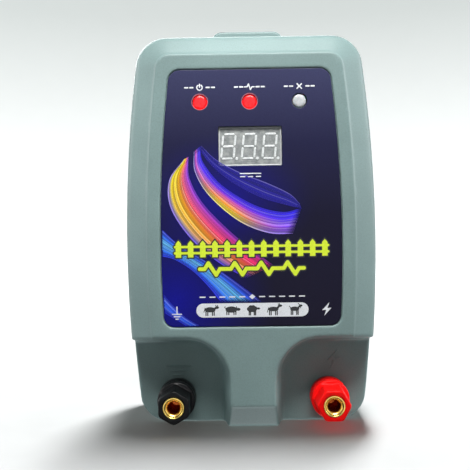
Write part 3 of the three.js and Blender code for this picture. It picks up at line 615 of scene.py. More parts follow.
def make_front():
    step = 0.35
    low, high = box_mm("front_cover")
    x, y, z = axes(low, high, step)
    d = y - PANEL_Y
    lean = (np.minimum(d, RIM) - BEVEL_DROP) * DRAFT
    wall = bowed(x, z, HALF_WIDTH + lean, 0.0, CASE_TOP + lean, CORNER)
    border = bowed(x, z, **PANEL)
    roof = (panel_profile(border) - d) / 1.15
    body = round_max(wall, np.maximum(roof, -d), 1.8)
    for side in (1, -1):
        body = round_cut(body, step_tool(x, d, z, side), 0.9)
    _, switch_y, switch_z = middle("switch_frame")
    seat = box_mm("switch_frame")[1][0] - 2.1
    low_corner, high_corner = (switch_y - 6.5, switch_z - 9.5), (switch_y + 6.5, switch_z + 9.5)
    pocket = block((x, y, z), (seat, *low_corner), (60, *high_corner), 1.0)
    body = round_cut(body, pocket, 0.6)
    jack_y = middle("dc_jack_body")[1]
    socket = np.maximum(np.hypot(x, y - jack_y) - 6.0, z - 2.2)
    body = round_cut(body, socket, 0.4)
    shell = np.maximum(round_max(body, d - RIM, 0.35), -(body + WALL))
    edges = LABEL_HIGH[0] + 0.3, LABEL_LOW[2] - 0.3, LABEL_HIGH[2] + 0.3
    tray = np.maximum(bowed(x, z, *edges, 3.9), d - TRAY_DEPTH)
    shell = round_cut(shell, tray, 0.3)
    wx, _, wz = (box_mm("display_module")[1] - box_mm("display_module")[0]) / 2 + 0.5
    mz = middle("display_module")[2]
    shell = round_cut(shell, block((x, d, z), (-wx, -5, mz - wz), (wx, 4, mz + wz)), 0.2)
    for led in ("power_led", "shock_led", "fault_led"):
        lx, _, lz = middle(led)
        shell = round_cut(shell, np.maximum(np.hypot(x - lx, z - lz) - 2.8, d - 4), 0.15)
    for post in POSTS.values():
        shell = round_cut(shell, np.maximum(np.hypot(x - post[0], z - post[2]) - 3.5, 10 - d), 0.15)
    low_corner, high_corner = (switch_y - 4.7, switch_z - 6.9), (switch_y + 4.7, switch_z + 6.9)
    hole = block((x, y, z), (20, *low_corner), (45, *high_corner), 0.3)
    shell = np.maximum(shell, -hole)
    shell = np.maximum(shell, -np.maximum(np.hypot(x, y - jack_y) - 4.3, z - 10))
    mesh = field_mesh("front_shell", shell, (x, y, z), step, 0.004)
    return put("front_shell", mesh, "case", "front_cover", "case_plastic", case_plastic)


def make_rear():
    step = 0.4
    low, high = box_mm("rear_cover")
    x, y, z = axes(low, high, step)
    d = y - PANEL_Y
    lean = (RIM - BEVEL_DROP) * DRAFT
    wall = bowed(x, z, HALF_WIDTH + lean, 0.0, CASE_TOP + lean, CORNER)
    body = round_max(round_max(wall, d - CASE_DEPTH, 3.2), RIM + 1 - d, 0.35)
    hollow = round_max(wall + WALL, d - CASE_DEPTH + WALL, 1.5)
    half = 15.0 - 0.8 * np.clip((z - 141) / 11.5, 0, 1)
    tab = corner_distance(np.abs(x) - half + 3.5, np.abs(z - 143.5) - 9 + 3.5) - 3.5
    tab = round_max(tab, np.abs(d - 43.55) - 2.05, 0.6)
    joined = np.maximum(round_join(body, tab, 1.2), d - CASE_DEPTH)
    body = round_cut(joined, hollow, 0.3)
    body = round_cut(body, np.hypot(x, z - 146.4) - 3.25, 0.5)
    lip = np.maximum(np.maximum(wall + 2.5, RIM - 2 - d), d - RIM - 3.5)
    ledge = np.maximum(np.maximum(wall + 1, RIM + 1 - d), d - RIM - 3.5)
    lip = np.maximum(np.minimum(lip, ledge), -wall - 3.7)
    body = np.minimum(body, lip)
    for i in range(1, 5):
        sx, _, sz = middle(f"case_screw_{i}")
        away = np.hypot(x - sx, z - sz)
        inside = np.maximum(np.maximum(away - 4.6, d - CASE_DEPTH + 1), RIM + 1 - d)
        body = np.minimum(body, np.maximum(inside, wall + 1))
        body = round_cut(body, np.maximum(away - 3.3, SCREW_SEAT - d), 0.45)
        body = np.maximum(body, -np.maximum(away - 3.7, d - RIM - 0.1))
        body = np.maximum(body, -np.maximum(away - 1.8, d - 39))
    mesh = field_mesh("rear_shell", body, (x, y, z), step, 0.004)
    return put("rear_shell", mesh, "case", "rear_cover", "case_plastic", case_plastic)


def make_screw(node):
    """A pan-head screw with a cross recess and a threaded shank."""
    step = 0.16
    low, high = box_mm(node)
    x, y, z = axes(low, high, step)
    cx, _, cz = (low + high) / 2
    u, v, sunk = x - cx, z - cz, high[1] - y
    away = np.hypot(u, v)
    dome = np.hypot(away, sunk - 4.6) - 4.6
    head = round_max(np.maximum(round_max(away - 2.8, dome, 0.3), -sunk), sunk - 1.9, 0.15)
    turn = np.arctan2(v, u)
    thread = away - 1.12 - 0.17 * np.cos(2 * math.pi * sunk - turn)
    shank = np.maximum(np.maximum(thread, sunk - 18.2), away + (sunk - 19.2) * 0.9)
    arms = np.minimum(np.abs(u), np.abs(v)) - 0.38 + 0.1 * sunk
    recess = np.maximum(np.maximum(arms, away - 1.75 + 0.5 * sunk), sunk - 1.5)
    body = round_cut(np.minimum(head, shank), recess, 0.05)
    mesh = field_mesh(f"{node}_fine", body, (x, y, z), step, 0.01)
    put(f"{node}_fine", mesh, "case", node, "screw_steel", steel)


make_front()
make_rear()
for corner in range(1, 5):
    make_screw(f"case_screw_{corner}")


# ---- Terminals
def hexagon(u, v, half, r):
    """Distance from a hexagon with a flat side up; its corners are rounded to radius r."""
    half = half - r
    u, v = np.abs(u), np.abs(v)
    fold = 2 * np.minimum(0.5 * v - 0.8660254 * u, 0)
    u, v = u + 0.8660254 * fold, v - 0.5 * fold
    return np.hypot(u - np.clip(u, -half * 0.57735, half * 0.57735), v - half) * np.sign(v - half) - r


def make_knob(name, turn, material, slot):
    """A hexagonal grip on a round skirt, bored for its metal insert."""
    step = 0.16
    low, high = box_mm(f"{name}_knob")
    x, y, z = axes(low, high, step)
    cx, _, cz = POSTS[name]
    u, v = x - cx, z - cz
    out = high[1] - y
    tall = high[1] - low[1]
    away = np.hypot(u, v)
    if turn:
        c, s = math.cos(turn), math.sin(turn)
        u, v = c * u + s * v, c * v - s * u
    grip = round_max(hexagon(u, v, 5.35, 1.1), out - tall, 0.55)
    grip = round_max(grip, away + (out - tall) * 0.55 - 5.75, 0.4)
    skirt = round_max(round_max(away - (high[0] - cx), out - 3.2, 0.7), -out, 0.25)
    body = np.maximum(round_join(grip, skirt, 0.7), -out)
    body = round_cut(body, away - 3.85, 0.2)
    mesh = field_mesh(f"{name}_grip", body, (x, y, z), step, 0.002)
    return put(f"{name}_grip", mesh, f"{name}_knob_body", f"{name}_knob", slot, material)


def make_terminal(name, turn, material, slot):
    cx, _, cz = POSTS[name]
    at = (cx, cz)
    make_knob(name, turn, material, slot)
    low, high = box_mm(f"{name}_knob_insert")
    front, back = low[1], high[1]
    insert = [
        (3.2, back), (3.6, back), (3.7, back - 0.1), (3.7, front + 0.25), (3.62, front + 0.06),
        (3.5, front), (3.3, front + 0.02), (3.22, front + 0.1), (3.2, front + 0.3),
    ]
    mover, node = f"{name}_insert", f"{name}_knob_insert"
    turned(f"{name}_ring", insert, at, mover, node, "brass", brass)

    low, high = box_mm(f"{name}_stud")
    front, back = low[1], high[1]
    stud = [(0, back), (2.6, back), (3.0, back - 0.5)]
    turns = np.arange(back - 0.9, FLOOR_Y - 3.2, -0.5)
    for i, along in enumerate(turns):
        stud.append((2.62 if i % 2 else 2.98, along))
    stud += [
        (2.9, FLOOR_Y - 3.5), (4.9, FLOOR_Y - 3.5), (5.1, FLOOR_Y - 3.7), (5.1, FLOOR_Y - 4.9),
        (4.9, FLOOR_Y - 5.1), (3.0, FLOOR_Y - 5.1),
    ]
    for i, along in enumerate(np.arange(FLOOR_Y - 5.6, front + 1.2, -0.5)):
        stud.append((2.72 if i % 2 else 2.98, along))
    stud += [
        (2.98, front + 0.3), (2.92, front + 0.06), (2.84, front), (2.74, front + 0.05),
        (2.5, front + 0.3), (2.26, front + 0.62), (2.08, front + 0.98), (2.0, front + 1.3),
        (2.0, FLOOR_Y - 7.0), (1.7, FLOOR_Y - 6.6), (0, FLOOR_Y - 6.2),
    ]
    turned(f"{name}_shank", stud, at, "case", f"{name}_stud", "brass", stud_brass)

    low, high = box_mm(f"{name}_collar")
    front, back = low[1], high[1]
    rim, floor = high[0] - cx, FLOOR_Y - 3.2
    collar = [
        (3.3, back), (rim - 0.3, back), (rim - 0.08, back - 0.1), (rim, back - 0.3),
        (rim, front + 0.3), (rim - 0.08, front + 0.1), (rim - 0.3, front), (5.6, front),
        (5.44, front + 0.06), (5.4, front + 0.2), (5.4, floor), (3.3, floor),
    ]
    turned(f"{name}_base", collar, at, "case", f"{name}_collar", slot, material)


def stud_material():
    """Bright brass, painted darker and redder inside the sockets: painted shade standing in for the dark
    of the deep holes.
    """
    made = Shader("stud_brass", 0.24, 1.0)
    out_x = made.math("SUBTRACT", made.math("ABSOLUTE", made.part("X")), POSTS["fence"][0])
    out_z = made.math("SUBTRACT", made.part("Z"), POSTS["fence"][2])
    squares = [made.math("MULTIPLY", v, v) for v in (out_x, out_z)]
    away = made.math("SQRT", made.math("ADD", *squares))
    # painted shade: the brass is coloured dark within the socket holes, in place of the shade that falls
    # there
    bore_shade_mask = made.across(away, 2.35, 2.02)
    dull = made.ramp(made.noise(0.4), (0.3, srgb(214, 178, 92)), (0.65, srgb(252, 220, 124)))
    bore_shade_tone = made.ramp(made.noise(0.9), (0.35, srgb(146, 66, 28)), (0.65, srgb(198, 106, 50)))
    made.link(made.mix(bore_shade_mask, dull, bore_shade_tone), "Base Color")
    fine = made.noise(6.0, 4.0, 0.6)
    made.link(made.ramp(fine, (0.3, 0.17), (0.7, 0.34)), "Roughness")
    made.bump(fine, 0.004)
    return made.material


stud_brass = stud_material()
make_terminal("earth", math.pi / 6, black_plastic, "black_plastic")
make_terminal("fence", 0.0, red_plastic, "red_plastic")


# ---- Lamps, display, jack
def lens_material(name, core, edge, glow):
    """A lamp's tinted lens, mottled between a deeper and a paler tint; glow is how brightly it is lit."""
    made = Shader(name, 0.42 if not glow else 0.25, Subsurface_Weight=0.15)
    made.set("Subsurface Radius", (0.002, 0.0008, 0.0006))
    fine = made.noise(1.2, 3.0)
    tone = made.ramp(fine, (0.35, edge), (0.6, core))
    made.link(tone, "Base Color")
    if glow:
        made.link(tone, "Emission Color")
        made.set("Emission Strength", glow)
    made.bump(fine, 0.01)
    return made.material


def make_led(node, material, slot):
    low, high = box_mm(node)
    front, back = low[1], high[1]
    x, _, z = middle(node)
    dome = [
        (2.5 * math.cos(t) ** 0.62, front + 1.15 * (1 - math.sin(t) ** 0.62))
        for t in np.linspace(0, math.pi / 2, 18)
    ]
    profile = [(0, back), (2.8, back), (2.9, back - 0.1), (2.9, back - 0.9), (2.8, back - 1.0)]
    profile += [(2.5, back - 1.0), *dome[:-1], (0, front)]
    turned(f"{node}_lens", profile, (x, z), "case", node, slot, material, segments=64)


lit_lens = lens_material("lit_red_lens", srgb(255, 26, 32), srgb(248, 14, 22), 0.9)
clear_lens = lens_material("frosted_lens", srgb(196, 199, 202), srgb(172, 177, 180), 0)
make_led("power_led", lit_lens, "red_lens")
make_led("shock_led", lit_lens, "red_lens")
make_led("fault_led", clear_lens, "clear_lens")


def make_jack():
    """The supply jack's socket and its centre pin, opening downwards."""
    centre = (0, middle("dc_jack_body")[1])
    top = box_mm("dc_jack_body")[1][2]
    socket = [
        (2.95, 0.5), (3.05, 0.4), (5.2, 0.4), (5.4, 0.6), (5.4, 1.7), (5.3, 1.8), (3.95, 1.8),
        (3.95, top), (1.2, top), (1.2, 10.0), (2.95, 10.0),
    ]
    node, slot = "dc_jack_body", "black_plastic"
    turned("jack_socket", socket, centre, "case", node, slot, black_plastic, "z", 72)
    low, high = (corner[2] for corner in box_mm("dc_jack_pin"))
    pin = [(0, low), (0.6, low), (0.9, low + 0.2), (1.0, low + 0.5)]
    pin += [(1.0, high - 0.1), (0.9, high), (0, high)]
    turned("jack_contact", pin, centre, "case", "dc_jack_pin", "tinned_steel", tinned, "z", 48)


make_jack()


# ---- The label: film, flowing bands and marks
LABEL = {"half": LABEL_HIGH[0], "bottom": LABEL_LOW[2], "top": LABEL_HIGH[2], "corner": 3.6}
LAYER = 0.03
FILM_BACK = 0.54
FILM, ART, UNDER, INK = (0.21 - i * LAYER for i in range(4))
LED_Z = middle("power_led")[2]
LED_X = [middle(n)[0] for n in ("power_led", "shock_led", "fault_led")]
WINDOW_Z = middle("display_module")[2]


def film_material():
    """Screen-printed dark blue film with printed blue glows, one low on the left. Its blue is painted
    paler towards the top: painted sheen standing in for the reflection of bright surroundings.
    """
    made = Shader("label_film", 0.3, Specular_IOR_Level=0.12)
    # painted sheen: the film's colour gets paler with height, in place of its reflection of the bright
    # room above
    height = made.across(made.part("Z"), 37, 129)
    tones = (17, 14, 35), (19, 17, 41), (31, 31, 62), (58, 60, 92)
    stops = zip((0.0, 0.42, 0.7, 1.0), (srgb(*tone) for tone in tones))
    navy_and_sheen = made.ramp(height, *stops)
    for x, z, reach, stretch, tone in (
        (-27, 46, 36, 1.0, srgb(14, 16, 150)),
        (-10, 82, 34, 1.4, srgb(22, 18, 138)),
    ):
        place = made.add("ShaderNodeMapping", Vector=made.place, Scale=(1000, 0, 1000 * stretch))
        away = made.add("ShaderNodeVectorMath", Vector=place.outputs[0])
        away.operation = "DISTANCE"
        away.inputs[1].default_value = (x, 0, z * stretch)
        glow = made.across(away.outputs["Value"], reach, 0)
        soft = made.math("MULTIPLY", made.math("POWER", glow, 1.6, True), 0.85)
        navy_and_sheen = made.mix(soft, navy_and_sheen, tone)
    pits = made.ramp(made.noise(2.6, 3.0), (0.35, 0.92), (0.65, 1.06))
    made.link(made.mix(1.0, navy_and_sheen, pits, "MULTIPLY"), "Base Color")
    fine = made.noise(1.4, 3.0)
    made.link(made.ramp(fine, (0.3, 0.28), (0.7, 0.38)), "Roughness")
    made.bump(fine, 0.004)
    return made.material


def printed(name, base, roughness=0.4):
    """A flat printed ink with the uneven cover that a screen leaves."""
    made = Shader(name, roughness)
    darker = tuple(c * 0.9 for c in base)
    lighter = tuple(min(1, c * 1.05) for c in base)
    fine = made.speckle(base, lighter, darker, 3.0)
    made.bump(fine, 0.003)
    return made.material


def strand_material():
    """Ink that takes its colour from each strand's own tone."""
    made = Shader("strand_ink", 0.34, Specular_IOR_Level=0.3)
    tone = made.add("ShaderNodeAttribute")
    tone.attribute_name = "tone"
    pits = made.ramp(made.noise(4.0, 2.0), (0.35, 0.88), (0.65, 1.08))
    made.link(made.mix(1.0, tone.outputs["Color"], pits, "MULTIPLY"), "Base Color")
    return made.material


white_ink = printed("white_ink", srgb(226, 229, 234))
lime_ink = printed("lime_ink", srgb(214, 234, 44))
dark_ink = printed("dark_ink", srgb(12, 14, 20))


def make_film():
    step = 0.2
    x, y, z = axes((-33, PANEL_Y + FILM, 36), (33, PANEL_Y + FILM_BACK, 130), step)
    t = np.arange(-5, 6, dtype=np.float32).reshape(1, -1, 1) * step
    sheet = bowed(x, z, **LABEL)
    sheet = np.maximum(sheet, -pad(x, z, 0, WINDOW_Z, 11.2, 6.98, 0.25))
    for led_x in LED_X:
        sheet = np.maximum(sheet, 2.68 - np.hypot(x - led_x, z - LED_Z))
    solid = np.maximum(sheet + 0 * t, np.abs(t) - 2 * step)

    def settle(points):
        thick = FILM_BACK - FILM
        points[:, 1] = PANEL_Y + (FILM + FILM_BACK) / 2 + points[:, 1] * thick / (4 * step)
        return points

    mesh = field_mesh("label_film", solid, (x, t, z), step, 0.05, settle, flat=True)
    put("label_film", mesh, "case", "label_overlay", "label_film", film_material())


def flow(points, t):
    """A smooth curve through a few points, sampled at t from 0 to 1."""
    p = np.array(points, float)
    p = np.vstack([2 * p[0] - p[1], p, 2 * p[-1] - p[-2]])
    at = np.clip(t, 0, 1 - 1e-9) * (len(points) - 1)
    i = at.astype(int) + 1
    u = (at - i + 1)[:, None]
    a, b, c, d = p[i - 1], p[i], p[i + 1], p[i + 2]
    square, cube = 2 * a - 5 * b + 4 * c - d, 3 * b - a - 3 * c + d
    return 0.5 * (2 * b + (c - a) * u + square * u**2 + cube * u**3)


def tone_at(stops, s):
    """The sRGB colour at s across a band, from (position, colour) stops."""
    places = [p for p, _ in stops]
    return np.array([np.interp(s, places, [c[i] for _, c in stops]) for i in range(3)])


def band(low_edge, high_edge, start, end, count, seed):
    """Strands that flow between two edges, as (points, widths, tones) for each."""
    chance = np.random.default_rng(seed)
    t = np.linspace(0, 1, 90)
    low, high = flow(low_edge, t), flow(high_edge, t)
    wide = np.hypot(*(high - low).T)
    taper = np.clip(np.minimum(t, 1 - t) / 0.07, 0.12, 1)
    for i in range(count):
        s = (i + 0.5) / count
        line = low + (high - low) * s
        width = np.maximum(wide / count * chance.uniform(0.66, 1.02) * taper, 0.05)
        fade = chance.uniform(0.78, 1.14)
        tone = np.outer(1 - t**1.5, tone_at(start, s)) + np.outer(t**1.5, tone_at(end, s))
        if chance.random() < 0.14:
            tone = tone + (255 - tone) * 0.28
        inside = bowed(line[:, 0], line[:, 1], **LABEL) < -0.4
        if inside.sum() > 3:
            yield line[inside], width[inside], np.clip(tone[inside] * fade, 0, 255)


def strands_mesh(name, bands, front, thick):
    """One mesh of thin closed strips, with each point's tone in an attribute."""
    points, faces, tones = [], [], []
    for line, width, tone in bands:
        along = np.gradient(line, axis=0)
        along /= np.maximum(np.hypot(*along.T), 1e-9)[:, None]
        side = np.stack([-along[:, 1], along[:, 0]], 1) * width[:, None] / 2
        first = len(points)
        near, far = PANEL_Y + front, PANEL_Y + front + thick
        for (x, z), (dx, dz), colour in zip(line, side, tone):
            points += [(x + dx, near, z + dz), (x - dx, near, z - dz)]
            points += [(x - dx, far, z - dz), (x + dx, far, z + dz)]
            tones += [(*srgb(*colour), 1.0)] * 4
        for i in range(len(line) - 1):
            a = first + 4 * i
            faces += [(a + j, a + (j + 1) % 4, a + 4 + (j + 1) % 4, a + 4 + j) for j in range(4)]
        last = first + 4 * (len(line) - 1)
        faces += [(first + 3, first + 2, first + 1, first), (last, last + 1, last + 2, last + 3)]
    mesh = bpy.data.meshes.new(name)
    mesh.from_pydata([tuple(c / 1000 for c in p) for p in points], [], faces)
    layer = mesh.color_attributes.new("tone", "FLOAT_COLOR", "POINT")
    layer.data.foreach_set("color", np.array(tones, np.float32).ravel())
    face_out(mesh)
    return mesh


WARM = [(0, (160, 146, 240)), (0.07, (218, 200, 190)), (0.15, (252, 226, 4)), (0.46, (250, 196, 12)),
        (0.62, (242, 116, 96)), (0.8, (224, 96, 204)), (1, (96, 56, 214))]
WARM_END = [(0, (44, 34, 220)), (0.16, (150, 70, 210)), (0.36, (246, 112, 60)), (0.6, (238, 36, 104)),
            (0.85, (216, 26, 116)), (1, (110, 24, 150))]
SUNSET = [(0, (190, 200, 246)), (0.12, (110, 56, 214)), (0.3, (206, 60, 170)), (0.46, (120, 52, 226)),
          (0.72, (66, 44, 240)), (1, (52, 38, 224))]
SUNSET_END = [(0, (150, 122, 238)), (0.2, (122, 70, 228)), (0.45, (94, 52, 236)), (0.75, (60, 42, 238)),
              (1, (46, 34, 228))]
SUNSET_MID = [(0, (240, 226, 150)), (0.14, (248, 216, 20)), (0.34, (244, 130, 44)), (0.54, (228, 62, 150)),
              (0.74, (104, 48, 232)), (1, (50, 42, 242))]
DUSK = [(0, (36, 28, 176)), (0.5, (28, 22, 150)), (1, (26, 20, 120))]
AZURE = [(0, (36, 56, 226)), (0.3, (48, 128, 236)), (0.55, (112, 196, 252)),
         (0.78, (44, 104, 236)), (1, (24, 32, 170))]
AZURE_END = [(0, (34, 40, 206)), (0.3, (58, 140, 246)), (0.55, (100, 190, 250)),
             (0.8, (40, 80, 232)), (1, (22, 24, 150))]
DEEP = [(0, (26, 38, 214)), (0.5, (44, 98, 246)), (1, (26, 38, 204))]

BANDS = (
    # the far loop that closes the upper band, kept clear of the window
    ([(-18.4, 100.3), (-14.0, 94.2), (-7.0, 88.2), (3.0, 82.6), (12.5, 79.6), (17.7, 78.4)],
     [(-17.2, 100.9), (-12.0, 95.9), (-3.5, 91.2), (6.0, 87.4), (13.6, 83.6), (17.2, 80.0)],
     DUSK, DUSK, 16, 3),
    # the warm band, from its bulge on the left down to the middle
    ([(-23.4, 96.2), (-28.7, 88.8), (-28.4, 79.4), (-22.0, 69.0), (-12.6, 60.4), (-2.2, 54.0)],
     [(-21.8, 97.0), (-21.6, 89.8), (-17.4, 81.2), (-9.6, 72.6), (-0.6, 64.6), (7.8, 58.4)],
     WARM, WARM_END, 28, 5),
    # the blue bands below it
    ([(-32.6, 62.4), (-27.0, 60.8), (-20.6, 56.6), (-15.2, 51.0), (-11.2, 45.8)],
     [(-32.6, 72.6), (-25.4, 66.0), (-15.6, 59.8), (-6.0, 53.0), (3.2, 45.8)], AZURE, AZURE_END, 26, 7),
    ([(-32.6, 43.4), (-29.6, 41.2), (-25.6, 38.8), (-22.0, 36.6)],
     [(-32.6, 50.4), (-28.2, 45.0), (-23.2, 40.2), (-17.4, 36.8)], DEEP, DEEP, 13, 11),
)
UPPER = (
    [(-19.9, 98.8), (-19.5, 91.6), (-14.6, 83.2), (-4.6, 74.4), (5.6, 70.0), (14.6, 69.4)],
    [(-17.6, 100.6), (-16.6, 95.0), (-10.0, 86.8), (1.2, 79.8), (11.0, 77.2), (17.8, 78.5)],
)


def upper_band():
    """The upper band changes from violet through yellow and pink to violet along its run."""
    mixed = list(band(*UPPER, SUNSET, SUNSET_END, 24, 13))
    middle_tones = list(band(*UPPER, SUNSET_MID, SUNSET_MID, 24, 13))
    for (line, width, tone), (_, _, warm) in zip(mixed, middle_tones):
        t = np.linspace(0, 1, len(line))
        share = np.exp(-(((t - 0.5) / 0.2) ** 2))[:, None]
        yield line, width, tone * (1 - share) + warm * share


def make_bands():
    strands = [strand for made in BANDS for strand in band(*made)]
    mesh = strands_mesh("label_bands", strands + list(upper_band()), ART, LAYER)
    put("label_bands", mesh, "case", slot="label_film", material=strand_material())


def print_mark(name, field, extent, depth=INK, ink=white_ink):
    relief(name, field, extent, depth, LAYER, ink)


def make_marks():
    """White, lime and dark print: every word's place is taken by a plain symbol."""
    high = LED_Z + 5.1

    def captions(x, z):
        on, shock, fault = LED_X
        marks = [
            stroke(x, z, [(on, high + 0.1), (on, high + 1.2)], 0.42),
            np.maximum(
                np.abs(np.hypot(x - on, z - high) - 0.95) - 0.21, 0.42 - np.hypot(x - on, z - high - 1.1)
            ),
            stroke(x, z, [(shock + a, high + b) for a, b in
                          ((-1.7, 0), (-0.8, 0), (-0.3, 1.0), (0.4, -1.0), (0.9, 0), (1.7, 0))], 0.42),
            stroke(x, z, [(fault - 0.8, high - 0.8), (fault + 0.8, high + 0.8)], 0.46),
            stroke(x, z, [(fault - 0.8, high + 0.8), (fault + 0.8, high - 0.8)], 0.46),
        ]
        for led_x in LED_X:
            for side in (-1, 1):
                for near, far in ((2.4, 3.4), (4.2, 5.2)):
                    ends = [(led_x + side * near, high), (led_x + side * far, high)]
                    marks.append(stroke(x, z, ends, 0.55))
        return union(*marks)

    print_mark("caption_marks", captions, (-25, 25, high - 2, high + 2))

    # Painted glow: rose rings round the two lit lamps stand in for their red light on the film's hole
    # edges; the unlit lamp gets none.
    def painted_glow_rings(x, z):
        return union(*(np.abs(np.hypot(x - a, z - LED_Z) - 2.82) - 0.13 for a in LED_X[:2]))

    painted_glow_ink = printed("painted_glow_ink", srgb(168, 92, 106))
    print_mark("painted_lamp_glow", painted_glow_rings, (-22, 5, LED_Z - 4, LED_Z + 4), UNDER, painted_glow_ink)

    def supply(x, z):
        low = WINDOW_Z - 10.3
        dashes = [
            stroke(x, z, [(a - 0.75, low - 0.5), (a + 0.75, low - 0.5)], 0.4)
            for a in (-2.8, 0, 2.8)
        ]
        return union(stroke(x, z, [(-3.6, low + 0.6), (3.6, low + 0.6)], 0.4), *dashes)

    print_mark("supply_mark", supply, (-5, 5, WINDOW_Z - 12, WINDOW_Z - 8))

    fence_z, pulse_z = 64.35, 57.4
    pickets, pitch = 13, 4.3

    def fence(x, z):
        nearest = np.clip(np.round(x / pitch), -(pickets // 2), pickets // 2) * pitch
        u = np.abs(x - nearest)
        pale = np.maximum(np.maximum(u - 0.98, fence_z - 2.8 - z), 0.76 * u + 0.65 * (z - fence_z) - 2.08)
        rails = [stroke(x, z, [(-27, fence_z + b), (27, fence_z + b)], 0.85) for b in (-1.25, 0.95)]
        return union(pale, *rails)

    def pulse(x, z):
        beat = [(-4.4, 0), (-2.7, 0), (-1.35, 2.1), (1.35, -2.1), (2.7, 0), (4.4, 0)]
        line = [(9.3 * i + a, pulse_z + b) for i in (-1.5, -0.5, 0.5, 1.5) for a, b in beat]
        return stroke(x, z, line, 1.35)

    def title(x, z):
        return union(fence(x, z), pulse(x, z))

    area = (-29, 29, pulse_z - 4, fence_z + 4)
    print_mark("title_shadow", lambda x, z: title(x, z) - 0.45, area, UNDER, dark_ink)
    print_mark("title_marks", title, area, INK, lime_ink)

    def rule(x, z):
        pieces = [
            stroke(x, z, [(a - 0.9, 47.5), (a + 0.9, 47.5)], 0.42)
            for a in np.arange(-17.5, 18, 3.5) if abs(a) > 2
        ]
        return union(polygon(x, z, [(-1.1, 47.5), (0, 48.4), (1.1, 47.5), (0, 46.6)]), *pieces)

    print_mark("thin_rule", rule, (-20, 20, 45.8, 49.2))

    pill_z = 42.8

    def pill(x, z):
        return stroke(x, z, [(-17.3, pill_z), (17.3, pill_z)], 4.95)

    print_mark("pill", pill, (-21, 21, 39.6, 46), UNDER)
    area = (-19, 19, 40, 46)
    print_mark("livestock", lambda x, z: livestock(x, z, pill_z), area, INK, dark_ink)

    def corner_marks(x, z):
        earth = earth_bars(x, z, -26.6, 41.6, (1.6, 1.0, 0.4), 0.85, 0.4, 2.6)
        return union(earth, bolt(x, z, 26.2, 42.8, 4.7))

    print_mark("corner_marks", corner_marks, (-30, 30, 38.5, 46.5))


def beast(x, z, at, body, neck, head, legs, extras=()):
    """A small animal seen from the side: an oval body on four legs, a neck and a head."""
    cx, cz = at
    rx, rz = body
    parts = [oval(x, z, cx, cz + 0.25, rx, rz)]
    parts.append(stroke(x, z, [(cx + rx * 0.75, cz + 0.5), (cx + neck[0], cz + neck[1])], head[1]))
    parts.append(oval(x, z, cx + neck[0] + 0.25, cz + neck[1], head[0], head[1] * 0.62))
    for leg in (-0.78, -0.45, 0.42, 0.74):
        parts.append(stroke(x, z, [(cx + leg * rx, cz), (cx + leg * rx, cz - legs)], 0.4))
    parts += [stroke(x, z, [(cx + a, cz + b) for a, b in line], 0.26) for line in extras]
    return union(*parts)


def livestock(x, z, middle_z):
    """Five plain farm animals in a row: cow, pig, sheep, donkey and goat."""
    cow = beast(x, z, (-14.9, middle_z), (1.9, 0.92), (2.2, 1.0), (0.7, 0.75), 1.75,
                [[(-1.8, 0.8), (-2.2, -0.6)], [(2.1, 1.3), (2.0, 1.85)], [(2.4, 1.3), (2.7, 1.8)]])
    pig = beast(x, z, (-7.4, middle_z), (2.1, 1.1), (2.2, 0.3), (0.75, 0.85), 1.5,
                [[(-2.0, 0.7), (-2.4, 1.0), (-2.2, 1.3)], [(1.9, 0.8), (1.8, 1.3)]])
    fleece = [np.hypot(x - a, z - middle_z - 0.35 - b) - 0.75 for a, b in
              ((-1.2, 0), (-0.6, 0.55), (0.3, 0.6), (1.0, 0.15), (0.4, -0.45), (-0.6, -0.45))]
    sheep = union(beast(x, z, (0, middle_z), (1.5, 0.9), (1.9, 0.5), (0.6, 0.6), 1.75), *fleece)
    donkey = beast(x, z, (7.4, middle_z), (1.8, 0.8), (2.1, 1.4), (0.75, 0.7), 1.8,
                   [[(-1.7, 0.7), (-2.2, -0.9)], [(1.9, 1.7), (1.7, 2.2)], [(2.2, 1.7), (2.2, 2.25)]])
    goat = beast(x, z, (14.9, middle_z), (1.6, 0.75), (1.9, 1.35), (0.6, 0.6), 1.8,
                 [[(-1.5, 0.7), (-1.9, 1.2)], [(1.8, 1.6), (1.2, 2.1)], [(2.1, 1.0), (2.1, 0.5)]])
    return union(cow, pig, sheep, donkey, goat)


make_film()
make_bands()
make_marks()


